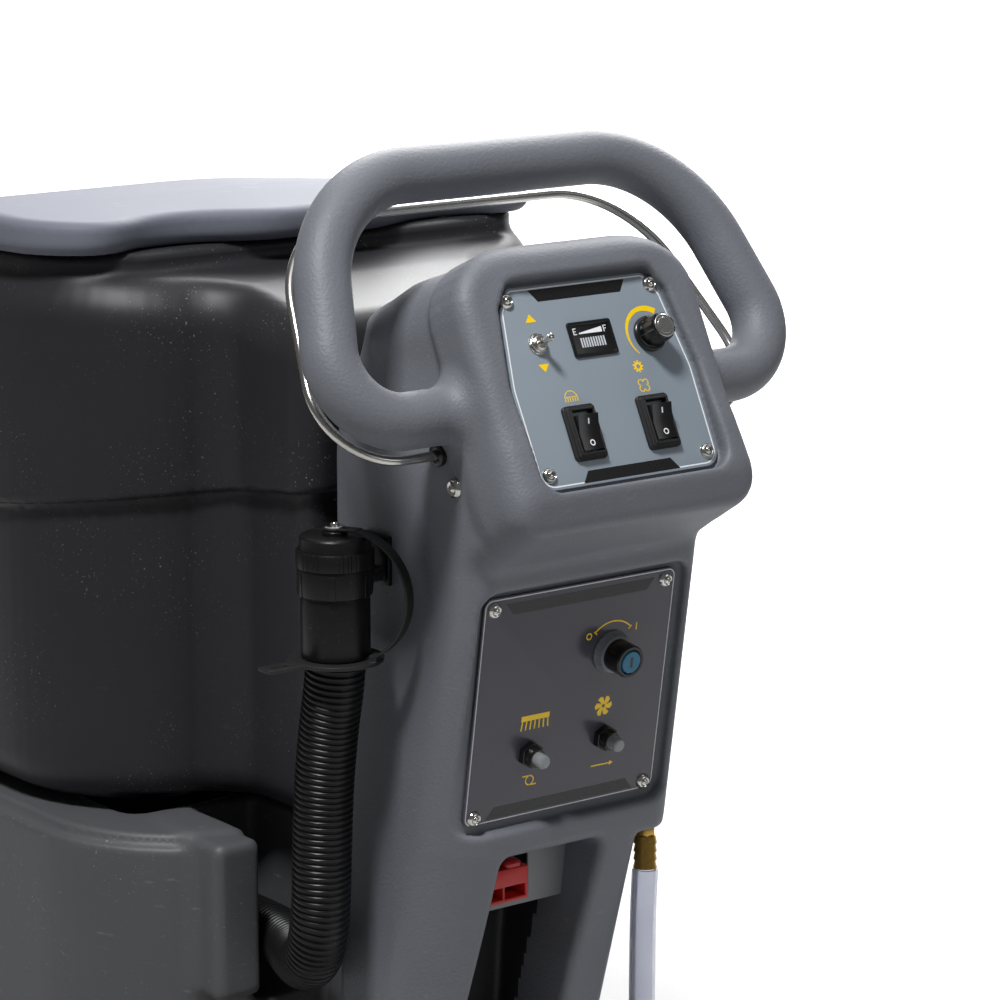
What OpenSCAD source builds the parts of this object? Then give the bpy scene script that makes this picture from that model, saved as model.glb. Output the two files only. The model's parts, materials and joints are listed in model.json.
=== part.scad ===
// Walk-behind wet and dry floor scrubber. +Y is the way it drives, +X its right hand side, +Z up.
// The origin is on the floor, under the middle of the machine.

/* [Console] */
// Distance of the upper panel's centre behind the origin
panel_back = 560; // [555:1:565]
// Height of the upper panel's centre above the floor
panel_height = 867; // [860:1:874]
// Lean of the upper panel from the vertical, in degrees
upper_tilt = 26.9; // [26:0.1:28]
// Undercut of the lower panel from the vertical, in degrees
lower_tilt = 8.7; // [8:0.1:9.5]
// Width of the console
console_width = 236; // [232:1:240]
// Wall of the rotomoulded parts
wall = 5; // [4:0.5:6]

/* [Handle and bail] */
// Radius of the moulded handle tube
handle_r = 22.2; // [21:0.1:23]
// Radius of the bail rod
bail_r = 4; // [3.5:0.1:4.5]

/* [Tanks] */
// Width of the base tank
base_width = 540; // [536:1:544]
// Width of the recovery tank
tank_width = 534; // [530:1:536]
// Height of the base tank's top deck
deck_height = 464; // [462:1:466]

/* [Running gear] */
// Radius of a drive wheel
wheel_r = 125; // [120:1:128]
// Radius of a caster wheel
caster_r = 50; // [48:1:52]
// Diameter of the scrub brush
brush_d = 508; // [500:1:512]
// Width of the squeegee
squeegee_width = 760; // [740:1:780]

/* [Hidden] */
$fn = 64;

// Colours
shell_grey = "#63676d";
dark_grey = "#4a4a4c";
tank_black = "#1f1f22";
lid_grey = "#8b8d98";
steel = "#c9c9c6";
black = "#17171a";

// Panels: the local frame of each has x to the right, y up the panel and z out of its face
panel_t = 3;
upper_panel_outline = [
    [-89, -82, 14], [89, -82, 14], [90, 0, 40], [80, 62, 10], [68, 80, 8],
    [-68, 80, 8], [-80, 62, 10], [-90, 0, 40]
];
lower_panel_outline = [[-97, -95, 8], [97, -95, 8], [97, 98, 8], [-97, 98, 8]];
upper_recess_gap = 4;
lower_recess_gap = 7;
shank_r = 2.2;
shank_hole_r = 2.5;
lower_panel_pos = [0, -panel_back + 39, panel_height - 264.6];
upper_screws = [[-78.7, -70], [78.7, -70], [71.4, 70], [-71.4, 70]];
lower_screws = [[-86.7, -88.2], [86.7, -88.2], [86.7, 88.2], [-86.7, 88.2]];

// Instruments on the upper panel
toggle_at = [-53.3, 33.2];
gauge_at = [0, 32.2];
knob_at = [56, 29.4];
brush_switch_at = [-34.7, -41];
vacuum_switch_at = [38.8, -41];
rocker_pivot_z = -2;
rocker_tilt = 9;
// Instruments on the lower panel
key_at = [36.7, 34.2];
brush_breaker_at = [-37.5, -40.8];
vacuum_breaker_at = [38.7, -40];

// Console side profile: [y, z, radius] from the upper panel's centre
console_profile = [
    [44, 100, 22], [-56, -97, 20], [11, -142, 20], [48, -385, 25], [95, -590, 0.1],
    [200, -590, 0.1], [200, 38, 15], [157, 62, 15]
];
console_inside = [
    [53, 86, 10], [-38, -92, 12], [29, -145, 12], [64, -374, 12], [112, -600, 0.1],
    [194, -600, 0.1], [194, 34, 8], [155, 54, 8]
];
half_console = console_width / 2;
// Underside of the rim over the right leg
rim_z = -395;

// Handle loop, in its own plane: [x, y, radius]
handle_pos = [0, 38, -21];
handle_lean = 29.8;
handle_path = [[110, 0, 0], [226.5, 0, 51], [176.4, 198, 113], [0, 198, 0]];
// Bail, in its own plane
bail_pos = [0, 55.5, -55.3];
bail_lean = 38.5;
bail_path = [[104, 0, 0], [226.6, 0, 59], [173.4, 217, 97], [0, 217, 0]];
bend_step = 0.1;
bend_overlap = 1.5;

// Drain hose: centre of the cap, and the route of the hose below it, from the upper panel's centre
drain_x = -165;
drain_y = 128;
drain_top = -118;
hose_r = 24;
// Bow of the cap's strap, in its own plane from the cap's top, and that plane's turn
strap_r = 53.2;
strap_centre = [12, -53.4];
strap_turn = -62;
hose_route = [
    [-165, 128, -206], [-165, 128, -225], [-165, 132, -252], [-165, 139, -285], [-165, 146, -335],
    [-165, 150, -395], [-164, 153, -430], [-162, 160, -458], [-157, 174, -481], [-149, 195, -495],
    [-139, 220, -500], [-129, 247, -500], [-122, 275, -500], [-120, 300, -500], [-120, 354.7, -500]
];
// Clear hose of the level gauge
level_r = 11;
level_route = [
    [100, 64, -431], [100, 66, -470], [102, 69, -515], [107, 75, -555], [115, 84, -588],
    [122, 97, -612], [126, 118, -628], [127, 150, -634], [127, 200, -634], [127, 261.7, -634]
];

// Tanks, in the machine's frame
deck_z = deck_height;
base_floor = 190;
base_rear = -298;
base_front = 596;
tank_floor = deck_z + 2;
tank_rear = -238;
tank_front = 462;
well = [[-205, -190], [205, 330]];
well_floor = 222;
filler_y = 542;
lid_profile = [
    [-193, 927, 4], [-193, 948, 12], [-90, 962, 120], [40, 960, 300], [420, 896, 12], [444, 864, 4]
];
lid_inside = [
    [-186, 915, 2], [-186, 943, 8], [-90, 955, 120], [40, 953, 300], [416, 889, 8], [440, 850, 2]
];

// Hinges
pin_r = 5;
pin_length = 180;
tank_hinge = [0, tank_front + 14, deck_z + 14];
lid_hinge = [0, 462, 872];
running = 0.06;

// Running gear
axle_y = -40;
wheel_x = 227;
wheel_w = 54;
axle_r = 10;
caster_x = 160;
caster_y = -340;
caster_trail = 32;
caster_top = 150;
brush_y = 340;
arm_pivot = [0, 20, 150];
arm_length = 180;
pedal_x = 256;
pedal_y = -300;
pedal_z = 172;
squeegee_pivot = [0, -400, 128];
squeegee_y = -522;
ground_gap = 1;

// ---- Outlines and paths ----

function unit2(v) = v / norm(v);
function corner_arc(p, q, s, r, n) =
    let (
        a = unit2([p.x - q.x, p.y - q.y]),
        b = unit2([s.x - q.x, s.y - q.y]),
        half = acos(a * b) / 2,
        centre = [q.x, q.y] + unit2(a + b) * r / sin(half),
        from = [q.x, q.y] + a * r / tan(half),
        to = [q.x, q.y] + b * r / tan(half),
        a0 = atan2(from.y - centre.y, from.x - centre.x),
        a1 = atan2(to.y - centre.y, to.x - centre.x),
        turn = (a1 - a0 + 540) % 360 - 180
    )
    [for (i = [0:n]) centre + r * [cos(a0 + turn * i / n), sin(a0 + turn * i / n)]];
// Closed outline with each corner of pts, [x, y, radius], rounded
function rounded(pts, n = 6) =
    let (c = len(pts))
    [for (i = [0:c - 1])
        each pts[i].z < 0.2
            ? [[pts[i].x, pts[i].y]]
            : corner_arc(pts[(i + c - 1) % c], pts[i], pts[(i + 1) % c], pts[i].z, n)];
// The same outline grown by d on every side of its box
function grown(pts, d) =
    let (w = max([for (p = pts) p.x]), h = max([for (p = pts) p.y]))
    [for (p = pts) [p.x * (1 + d / w), p.y * (1 + d / h), p.z + d]];
function box_outline(x0, y0, x1, y1, r) = [[x0, y0, r], [x1, y0, r], [x1, y1, r], [x0, y1, r]];

// Prism across the machine from a side profile of [y, z, radius]
module side_prism(profile, x0, x1) {
    translate([x0, 0, 0])
        rotate([90, 0, 90])
            linear_extrude(x1 - x0)
                polygon(rounded(profile));
}
module plan_prism(outline, z0, z1) {
    translate([0, 0, z0])
        linear_extrude(z1 - z0)
            polygon(rounded(outline, 10));
}
module box_between(low, high) {
    translate(low)
        cube(high - low);
}
// Cylinder from a to b
module rod(a, b, r) {
    v = b - a;
    translate(a)
        rotate([0, acos(v.z / norm(v)), atan2(v.y, v.x)])
            cylinder(h = norm(v), r = r);
}
// Loop of tube in the XY plane, alike on both sides: straights and bends along path, [x, y, radius]
module bent_loop(path, r) {
    low = corner_arc(path[0], path[1], path[2], path[1].z, 1);
    high = corner_arc(path[1], path[2], path[3], path[2].z, 1);
    both_sides() {
        rod([path[0].x, path[0].y, 0], [low[0].x, low[0].y, 0], r);
        bend(path[0], path[1], path[2], path[1].z, r);
        rod([low[1].x, low[1].y, 0], [high[0].x, high[0].y, 0], r);
        bend(path[1], path[2], path[3], path[2].z, r);
    }
    rod([-high[1].x, high[1].y, 0], [high[1].x, high[1].y, 0], r);
}
// Bend of the tube, a hair thinner than the straights and run a little way into both of them
module bend(p, q, s, bend_r, r) {
    a = unit2([p.x - q.x, p.y - q.y]);
    b = unit2([s.x - q.x, s.y - q.y]);
    half = acos(a * b) / 2;
    centre = [q.x, q.y] + unit2(a + b) * bend_r / sin(half);
    from = [q.x, q.y] + a * bend_r / tan(half);
    a0 = atan2(from.y - centre.y, from.x - centre.x);
    extra = bend_overlap / bend_r * 180 / PI;
    translate([centre.x, centre.y, 0])
        rotate([0, 0, a0 - extra])
            rotate_extrude(angle = 180 - 2 * half + 2 * extra)
                translate([bend_r, 0])
                    circle(r - bend_step);
}
module both_sides() {
    children();
    mirror([1, 0, 0])
        children();
}
// Places things given from the upper panel's centre
module from_panel() {
    translate([0, -panel_back, panel_height])
        children();
}
module on_upper() {
    translate([0, -panel_back, panel_height])
        rotate([90 - upper_tilt, 0, 0])
            children();
}
module on_lower() {
    translate(lower_panel_pos)
        rotate([90 + lower_tilt, 0, 0])
            children();
}
// Tube swept along a route of points
function tangents(route) =
    [for (i = [0:len(route) - 1])
        let (
            before = route[max(i - 1, 0)],
            after = route[min(i + 1, len(route) - 1)]
        )
        [route[i], (after - before) / norm(after - before)]];
module swept_tube(route, r, sides) {
    frames = tangents(route);
    last = len(route) - 1;
    ring = [for (f = frames)
        let (
            side = cross(f[1], [1, 0, 0]) / norm(cross(f[1], [1, 0, 0])),
            other = cross(f[1], side)
        )
        each [for (k = [0:sides - 1])
            f[0] + r * (cos(360 * k / sides) * side + sin(360 * k / sides) * other)]];
    skin = [for (i = [0:last - 1], k = [0:sides - 1])
        [i * sides + k, i * sides + (k + 1) % sides,
         (i + 1) * sides + (k + 1) % sides, (i + 1) * sides + k]];
    ends = [
        [for (k = [sides - 1:-1:0]) k],
        [for (k = [0:sides - 1]) last * sides + k]
    ];
    polyhedron(points = ring, faces = concat(skin, ends), convexity = 4);
}

// ---- Console ----

// Space outside a leg's slanted back corner, below top
module corner_cut(top, inset) {
    intersection() {
        translate([half_console - inset, 30.3 + inset, -160])
            rotate([0, 10.5, -38.2])
                translate([0, -200, -700])
                    cube([150, 400, 1000]);
        box_between([0, -100, -620], [half_console + 20, 300, top]);
    }
}
module console_body() {
    difference() {
        intersection() {
            side_prism(console_profile, -half_console, half_console);
            translate([0, 300, 0])
                rotate([90, 0, 0])
                    linear_extrude(500)
                        polygon(rounded([
                            [-half_console, -600, 0.1], [half_console, -600, 0.1],
                            [half_console, 100, 62], [-half_console, 100, 62]
                        ], 8));
        }
        corner_cut(rim_z, 0);
        mirror([1, 0, 0])
            corner_cut(-160, 0);
    }
}
module console_shell() {
    color(shell_grey)
        difference() {
            from_panel() {
                console_body();
                translate(handle_pos)
                    rotate([90 - handle_lean, 0, 0])
                        bent_loop(handle_path, handle_r);
            }
            from_panel()
                difference() {
                    side_prism(console_inside, -half_console + wall, half_console - wall);
                    corner_cut(rim_z + wall, wall + 1);
                    mirror([1, 0, 0])
                        corner_cut(-160 + wall, wall + 1);
                }
            // Recesses, windows and screw holes of the panels
            on_upper() {
                translate([0, 0, -panel_t])
                    linear_extrude(40)
                        polygon(rounded(grown(upper_panel_outline, upper_recess_gap)));
                translate([-66, -66, -40])
                    cube([132, 132, 60]);
                for (p = upper_screws)
                    panel_hole(p, shank_hole_r);
            }
            on_lower() {
                translate([0, 0, -panel_t])
                    linear_extrude(60)
                        polygon(rounded(grown(lower_panel_outline, lower_recess_gap)));
                translate([-78, -78, -40])
                    cube([156, 156, 60]);
                for (p = lower_screws)
                    panel_hole(p, shank_hole_r);
            }
            // Opening below the lower panel
            from_panel()
                box_between([-62, 20, -640], [44, 150, -402]);
            from_panel() {
                // Bores of the bail's bushes
                rod([-150, bail_pos.y, bail_pos.z], [150, bail_pos.y, bail_pos.z], 9);
                // Thread of the level hose's barb, up into the rim
                translate([level_route[0].x, level_route[0].y, rim_z - 1])
                    cylinder(h = 15, r = 5.1);
            }
        }
}
module upper_panel() {
    color("#93a3b3")
        on_upper()
            difference() {
                translate([0, 0, -panel_t + 0.1])
                    linear_extrude(panel_t - 0.1)
                        polygon(rounded(upper_panel_outline));
                panel_hole(toggle_at, 6.1);
                panel_hole(knob_at, 5.1);
                rect_hole(gauge_at, [39, 25]);
                rect_hole(brush_switch_at, [24, 37]);
                rect_hole(vacuum_switch_at, [24, 37]);
                for (p = upper_screws)
                    panel_hole(p, 2.7);
            }
}
module lower_panel() {
    color("#45434c")
        on_lower()
            difference() {
                translate([0, 0, -panel_t + 0.1])
                    linear_extrude(panel_t - 0.1)
                        polygon(rounded(lower_panel_outline));
                panel_hole(key_at, 11.1);
                panel_hole(brush_breaker_at, 5.6);
                panel_hole(vacuum_breaker_at, 5.6);
                for (p = lower_screws)
                    panel_hole(p, 2.7);
            }
}
module panel_hole(at, r) {
    translate([at.x, at.y, -20])
        cylinder(h = 40, r = r);
}
module rect_hole(at, size) {
    translate([at.x - size.x / 2, at.y - size.y / 2, -20])
        cube([size.x, size.y, 40]);
}
// Pan-head screw in a raised finishing washer
module panel_fastener(at) {
    translate([at.x, at.y, 0.1]) {
        difference() {
            cylinder(h = 3, r1 = 6.6, r2 = 4.4);
            translate([0, 0, -1])
                cylinder(h = 10, r = 3.4);
        }
        translate([0, 0, 0.3])
            cylinder(h = 4.2, r = 3.3);
        translate([0, 0, -7])
            cylinder(h = 7.3, r = shank_r);
    }
}
module panel_fasteners() {
    color(steel) {
        on_upper()
            for (p = upper_screws)
                panel_fastener(p);
        on_lower()
            for (p = lower_screws)
                panel_fastener(p);
    }
}
module side_screws() {
    color(steel)
        both_sides()
            from_panel()
                translate([-half_console - 0.1, 35, -78])
                    rotate([0, -90, 0]) {
                        difference() {
                            cylinder(h = 1.5, r = 8);
                            translate([0, 0, -1])
                                cylinder(h = 4, r = 3.6);
                        }
                        cylinder(h = 4.5, r = 3.5);
                    }
}
module toggle_body() {
    color(steel)
        on_upper()
            translate([toggle_at.x, toggle_at.y, 0])
                difference() {
                    union() {
                        translate([0, 0, 0.1])
                            cylinder(h = 3, r = 8, $fn = 6);
                        translate([0, 0, -6])
                            cylinder(h = 12, r = 5.9);
                        translate([-8, -10, -26])
                            cube([16, 20, 20]);
                    }
                    translate([0, 0, -4])
                        cylinder(h = 12, r1 = 3, r2 = 4.8);
                }
}
module toggle_lever() {
    color(steel)
        on_upper()
            translate([toggle_at.x, toggle_at.y, 0]) {
                translate([0, 0, 2])
                    cylinder(h = 15, r1 = 2, r2 = 3.1);
                translate([0, 0, 17])
                    sphere(r = 3.1);
                sphere(r = 2.2);
                cylinder(h = 3, r = 1.9);
                rod([-2.6, 0, 0], [2.6, 0, 0], 0.8);
            }
}
module battery_gauge() {
    color(black)
        on_upper()
            translate([gauge_at.x, gauge_at.y, 0]) {
                translate([-21.6, -14.4, 0.1])
                    cube([43.2, 28.8, 1.8]);
                translate([-19, -12, -22])
                    cube([38, 24, 22.2]);
            }
}
module speed_control() {
    color("#55565a")
        on_upper()
            translate([knob_at.x, knob_at.y, 0]) {
                translate([0, 0, -20])
                    cylinder(h = 14, r = 9.5);
                translate([0, 0, -7])
                    cylinder(h = 7, r = 4.9);
                translate([0, 0, -1])
                    cylinder(h = 16, r = 3);
            }
}
module speed_knob() {
    color(black)
        on_upper()
            translate([knob_at.x, knob_at.y, 0])
                difference() {
                    union() {
                        translate([0, 0, 0.5])
                            cylinder(h = 4, r = 14.6);
                        translate([0, 0, 4.4])
                            cylinder(h = 17.6, r = 11.6);
                    }
                    translate([0, 0, -1])
                        cylinder(h = 17, r = 3.08);
                    translate([0, 0, 21])
                        cylinder(h = 3, r = 9.5);
                }
}
module knob_cap() {
    color(steel)
        on_upper()
            translate([knob_at.x, knob_at.y, 21])
                cylinder(h = 1.6, r = 9.4);
}
// Rocker switch: a sealed frame that snaps into the panel, with a boot lip round the rocker
module switch_housing(at) {
    translate([at.x, at.y, 0])
        difference() {
            union() {
                translate([0, 0, 0.1])
                    linear_extrude(7)
                        polygon(rounded(box_outline(-15.5, -22, 15.5, 22, 3)));
                translate([-11.8, -18.3, -24])
                    cube([23.6, 36.6, 25]);
            }
            translate([-10.2, -15.6, -10])
                cube([20.4, 31.2, 30]);
        }
}
module switch_housings() {
    color(black)
        on_upper() {
            switch_housing(brush_switch_at);
            switch_housing(vacuum_switch_at);
        }
}
module rocker(at) {
    on_upper()
        translate([at.x, at.y, rocker_pivot_z])
            rotate([rocker_tilt, 0, 0]) {
                translate([-9.8, 0, 0])
                    rotate([90, 0, 90])
                        linear_extrude(19.6)
                            polygon([
                                [-13.6, 2], [-4, -5], [4, -5], [13.6, 2],
                                [14, 12], [0, 9.5], [-14, 12]
                            ]);
                // Pivot pins
                rod([-10.1, 0, 0], [10.1, 0, 0], 1.5);
            }
}
module brush_rocker() {
    color(black)
        rocker(brush_switch_at);
}
module vacuum_rocker() {
    color(black)
        rocker(vacuum_switch_at);
}
module key_switch() {
    color("#55585e")
        on_lower()
            translate([key_at.x, key_at.y, 0])
                difference() {
                    union() {
                        translate([0, 0, 0.1])
                            cylinder(h = 8, r1 = 18, r2 = 15);
                        translate([0, 0, 8])
                            cylinder(h = 18, r = 13.5);
                        translate([0, 0, -28])
                            cylinder(h = 29, r = 11);
                    }
                    translate([0, 0, 4])
                        cylinder(h = 30, r = 9.6);
                }
}
module key_barrel() {
    color("#0a6a8a")
        on_lower()
            translate([key_at.x, key_at.y, 4.3])
                difference() {
                    cylinder(h = 22.4, r = 9.5);
                    translate([-1.2, -4.5, 12])
                        cube([2.4, 9, 12]);
                }
}
module breaker_body(at) {
    translate([at.x, at.y, 0])
        difference() {
            union() {
                translate([0, 0, 0.1])
                    cylinder(h = 8, r = 11);
                translate([0, 0, 8])
                    cylinder(h = 4, r = 8);
                translate([0, 0, -6])
                    cylinder(h = 8, r = 5.5);
                translate([-13, -8, -34])
                    cube([26, 16, 28]);
            }
            translate([0, 0, 2])
                cylinder(h = 20, r = 6.1);
        }
}
module breaker_bodies() {
    color(black)
        on_lower() {
            breaker_body(brush_breaker_at);
            breaker_body(vacuum_breaker_at);
        }
}
module breaker_cap(at) {
    color([0.85, 0.85, 0.88])
        on_lower()
            translate([at.x, at.y, 7])
                cylinder(h = 15, r = 6.04);
}
module brush_breaker_cap() {
    breaker_cap(brush_breaker_at);
}
module vacuum_breaker_cap() {
    breaker_cap(vacuum_breaker_at);
}
module connector_bracket() {
    color("#7d7f83")
        from_panel() {
            difference() {
                box_between([-76, 98, -450], [52, 101, -398]);
                box_between([-62, 90, -442], [4, 110, -408]);
            }
            // Legs to the side walls
            box_between([-76, 98, -445], [-73, 127, -403]);
            box_between([-112.8, 124, -445], [-73, 127, -403]);
            box_between([49, 98, -445], [52, 127, -403]);
            box_between([49, 124, -445], [112.8, 127, -403]);
        }
}
module charge_connector() {
    color("#c8201a")
        from_panel()
            difference() {
                translate([-60, 80, -439])
                    cube([50, 56, 28]);
                for (x = [-57, -34])
                    translate([x, 70, -436])
                        cube([21, 40, 10]);
            }
}
module motor_controller() {
    color(black)
        from_panel() {
            translate([-70, 130, -330])
                cube([140, 50, 220]);
            // Mounting plate on the console's front wall
            box_between([-80, 179, -335], [80, 193.7, -105]);
            for (i = [0:5])
                translate([-60 + 22 * i, 112, -320])
                    cube([4, 18.5, 200]);
        }
}

// ---- Bail ----

module bail() {
    color(steel)
        from_panel()
            translate(bail_pos)
                rotate([90 - bail_lean, 0, 0])
                    bent_loop(bail_path, bail_r);
}
module bail_bushes() {
    color(black)
        both_sides()
            from_panel()
                translate([half_console - wall - 6, bail_pos.y, bail_pos.z])
                    rotate([0, 90, 0])
                        difference() {
                            union() {
                                cylinder(h = wall + 9, r = 8.95);
                                cylinder(h = 6, r = 12);
                            }
                            translate([0, 0, -1])
                                cylinder(h = 30, r = bail_r + running);
                        }
}

// ---- Hoses ----

module level_hose() {
    color([0.8, 0.85, 0.9, 0.5])
        from_panel()
            swept_tube(level_route, level_r, 12);
}
module level_barb() {
    color("#c9a24a")
        from_panel()
            translate(level_route[0]) {
                for (i = [0:3])
                    translate([0, 0, 0.7 + 7 * i])
                        cylinder(h = 7, r1 = 9.8, r2 = 8.4);
                translate([0, 0, 28])
                    cylinder(h = 7.7, r = 8, $fn = 6);
                translate([0, 0, 34])
                    cylinder(h = 12, r = 5);
            }
}
module drain_hose() {
    color(black)
        from_panel()
            swept_tube(hose_route, hose_r, 12);
}
// Sleeve with its locking collar, on the end of the hose
module drain_cuff() {
    color(black)
        from_panel()
            translate([drain_x, drain_y, drain_top - 103])
                difference() {
                    union() {
                        cylinder(h = 50, r = 27.5);
                        translate([0, 0, 50])
                            cylinder(h = 22, r = 30);
                    }
                    translate([0, 0, -1])
                        cylinder(h = 16, r = 26);
                    translate([0, 0, 15.5])
                        cylinder(h = 80, r = 22);
                }
}
module drain_cap() {
    color(black)
        from_panel()
            translate([drain_x, drain_y, drain_top - 30.7])
                difference() {
                    union() {
                        cylinder(h = 14, r = 31);
                        translate([0, 0, 14])
                            cylinder(h = 10.7, r = 28);
                        translate([0, 0, 24])
                            cylinder(h = 4, r = 10);
                        translate([0, 0, -8])
                            cylinder(h = 9, r = 21.8);
                    }
                    translate([0, 0, 18])
                        cylinder(h = 20, r = shank_hole_r);
                }
}
module cap_strap() {
    color(black)
        from_panel()
            translate([drain_x, drain_y, drain_top]) {
                rotate([0, 0, strap_turn]) {
                    translate([0, 0, -2.2])
                        difference() {
                            union() {
                                cylinder(h = 2, r = 9);
                                translate([0, -6, 0])
                                    cube([21, 12, 2]);
                            }
                            translate([0, 0, -1])
                                cylinder(h = 5, r = 3);
                        }
                    strap_loop();
                    // Foot of the bow on the ring
                    translate([31.5, -6, -107])
                        cube([6, 12, 8]);
                }
                translate([0, 0, -107])
                    difference() {
                        union() {
                            cylinder(h = 3, r = 38);
                            translate([-68, -9, 0])
                                cube([40, 18, 3]);
                        }
                        translate([0, 0, -1])
                            cylinder(h = 6, r = 26);
                        translate([-60, -3.5, -1])
                            cube([14, 7, 6]);
                    }
            }
}
// Flat strap that leaves the cap's top, bows out round the side and comes back to the ring
module strap_loop() {
    rotate([90, 0, 0])
        translate([0, 0, -6])
            linear_extrude(12)
                difference() {
                    strap_bow(strap_r);
                    strap_bow(strap_r - 2);
                    translate([-100, -50])
                        square([120, 60]);
                    translate([-100, -120])
                        square([133, 80]);
                }
}
module strap_bow(r) {
    translate([strap_centre.x, strap_centre.y])
        circle(r);
}
module strap_screw() {
    color(steel)
        from_panel()
            translate([drain_x, drain_y, drain_top]) {
                cylinder(h = 1.4, r = 8);
                cylinder(h = 4, r = 3.6);
                translate([0, 0, -8])
                    cylinder(h = 9, r = shank_r);
            }
}
module hose_hook() {
    color(black)
        from_panel() {
            translate([-half_console - 4.2, 116, -170])
                cube([4, 34, 40]);
            translate([-half_console - 16, 121, -166])
                cube([12.2, 14, 10]);
        }
}

// ---- Base ----

module base_tank() {
    color(dark_grey)
        difference() {
            union() {
                plan_prism(
                    box_outline(-base_width / 2, base_rear, base_width / 2, base_front, 150),
                    base_floor, deck_z
                );
                // Pedestal that carries the console
                plan_prism(box_outline(-113, -455, 113, base_rear + 60, 12), base_floor, 275);
                box_between([-84, -358, 200], [84, base_rear + 60, deck_z]);
                // Corner pads under the recovery tank
                both_sides()
                    plan_prism(box_outline(156, base_rear - 14, 200, base_rear + 60, 8), 330, deck_z);
                // Ears of the tank hinge
                both_sides()
                    box_between([50, tank_hinge.y - 8, deck_z - 10], [80, tank_hinge.y + 10, deck_z + 24]);
            }
            // Battery well
            plan_prism(box_outline(well[0].x, well[0].y, well[1].x, well[1].y, 20), well_floor, 600);
            // Solution tank: front block and the strips beside the well
            plan_prism(box_outline(-232, 345, 232, base_front - 8, 110), base_floor + 8, deck_z - 8);
            both_sides()
                box_between([213, -150, 272], [base_width / 2 - 8, 420, deck_z - 8]);
            // Hollow behind the well
            box_between([-78, -345, base_floor + 8], [78, -198, deck_z - 8]);
            // Filler mouth
            translate([0, filler_y, deck_z - 20])
                cylinder(h = 40, r = 36);
            // Pocket of the drain hose
            box_between([-153, base_rear - 30, 318], [-92, -205, deck_z + 10]);
            // Wheel arches
            both_sides()
                box_between([190, axle_y - 137, base_floor - 10], [300, axle_y + 137, 264]);
            // Bores of the tank hinge
            rod([-90, tank_hinge.y, tank_hinge.z], [90, tank_hinge.y, tank_hinge.z], pin_r + running);
        }
}
module filler_cap() {
    color(black)
        translate([0, filler_y, deck_z]) {
            translate([0, 0, 0.2])
                cylinder(h = 14, r = 46);
            translate([0, 0, -14])
                cylinder(h = 15, r = 35.6);
            translate([-30, -5, 14])
                cube([60, 10, 8]);
        }
}
module batteries() {
    color("#2b2b2f")
        for (x = [-182, 10])
            translate([x, 14, well_floor + 0.5]) {
                cube([172, 306, 205]);
                for (y = [30, 276])
                    translate([86, y, 205])
                        cylinder(h = 14, r = 9);
            }
}
module vacuum_motor() {
    color("#8f9296")
        translate([40, -92, well_floor + 0.5]) {
            cylinder(h = 60, r = 76);
            translate([0, 0, 60])
                cylinder(h = 80, r = 58);
            translate([0, 0, 140])
                cylinder(h = 30, r = 30);
        }
}
module chassis_frame() {
    color(black)
        difference() {
            union() {
                both_sides()
                    box_between([140, -420, 152], [180, 500, 188]);
                for (y = [-360, -250, 460])
                    box_between([-180, y, 152], [180, y + 40, 188]);
                both_sides() {
                    // Caster plates
                    box_between([105, caster_y - 50, 151], [215, caster_y + 50, 160]);
                    // Deck arm brackets
                    box_between([112, arm_pivot.y - 14, 128], [122, arm_pivot.y + 14, 170]);
                    box_between([112, arm_pivot.y - 14, 160], [150, arm_pivot.y + 14, 170]);
                    // Pedal brackets
                    box_between([170, pedal_y - 12, 162], [244, pedal_y + 12, 182]);
                    rod([240, pedal_y, pedal_z], [268, pedal_y, pedal_z], pin_r);
                }
                // Squeegee bracket
                both_sides()
                    box_between([20, -420, 112], [30, -380, 160]);
                box_between([-30, -420, 152], [30, -330, 164]);
            }
            both_sides()
                rod([100, arm_pivot.y, arm_pivot.z], [130, arm_pivot.y, arm_pivot.z], pin_r + running);
            rod([-60, squeegee_pivot.y, squeegee_pivot.z], [60, squeegee_pivot.y, squeegee_pivot.z],
                pin_r + running);
            both_sides()
                translate([caster_x, caster_y, 140])
                    cylinder(h = 40, r = 8 + running);
        }
}
module transaxle() {
    color("#77797c")
        difference() {
            union() {
                rod([-190, axle_y, wheel_r], [190, axle_y, wheel_r], 24);
                rod([-60, axle_y, wheel_r], [60, axle_y, wheel_r], 56);
                rod([30, axle_y - 20, wheel_r + 4], [30, axle_y - 150, wheel_r + 4], 38);
                both_sides()
                    box_between([146, axle_y - 30, 120], [176, axle_y + 30, 151.9]);
            }
            rod([-200, axle_y, wheel_r], [200, axle_y, wheel_r], axle_r + running);
        }
}

// ---- Recovery tank and lid ----

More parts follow.
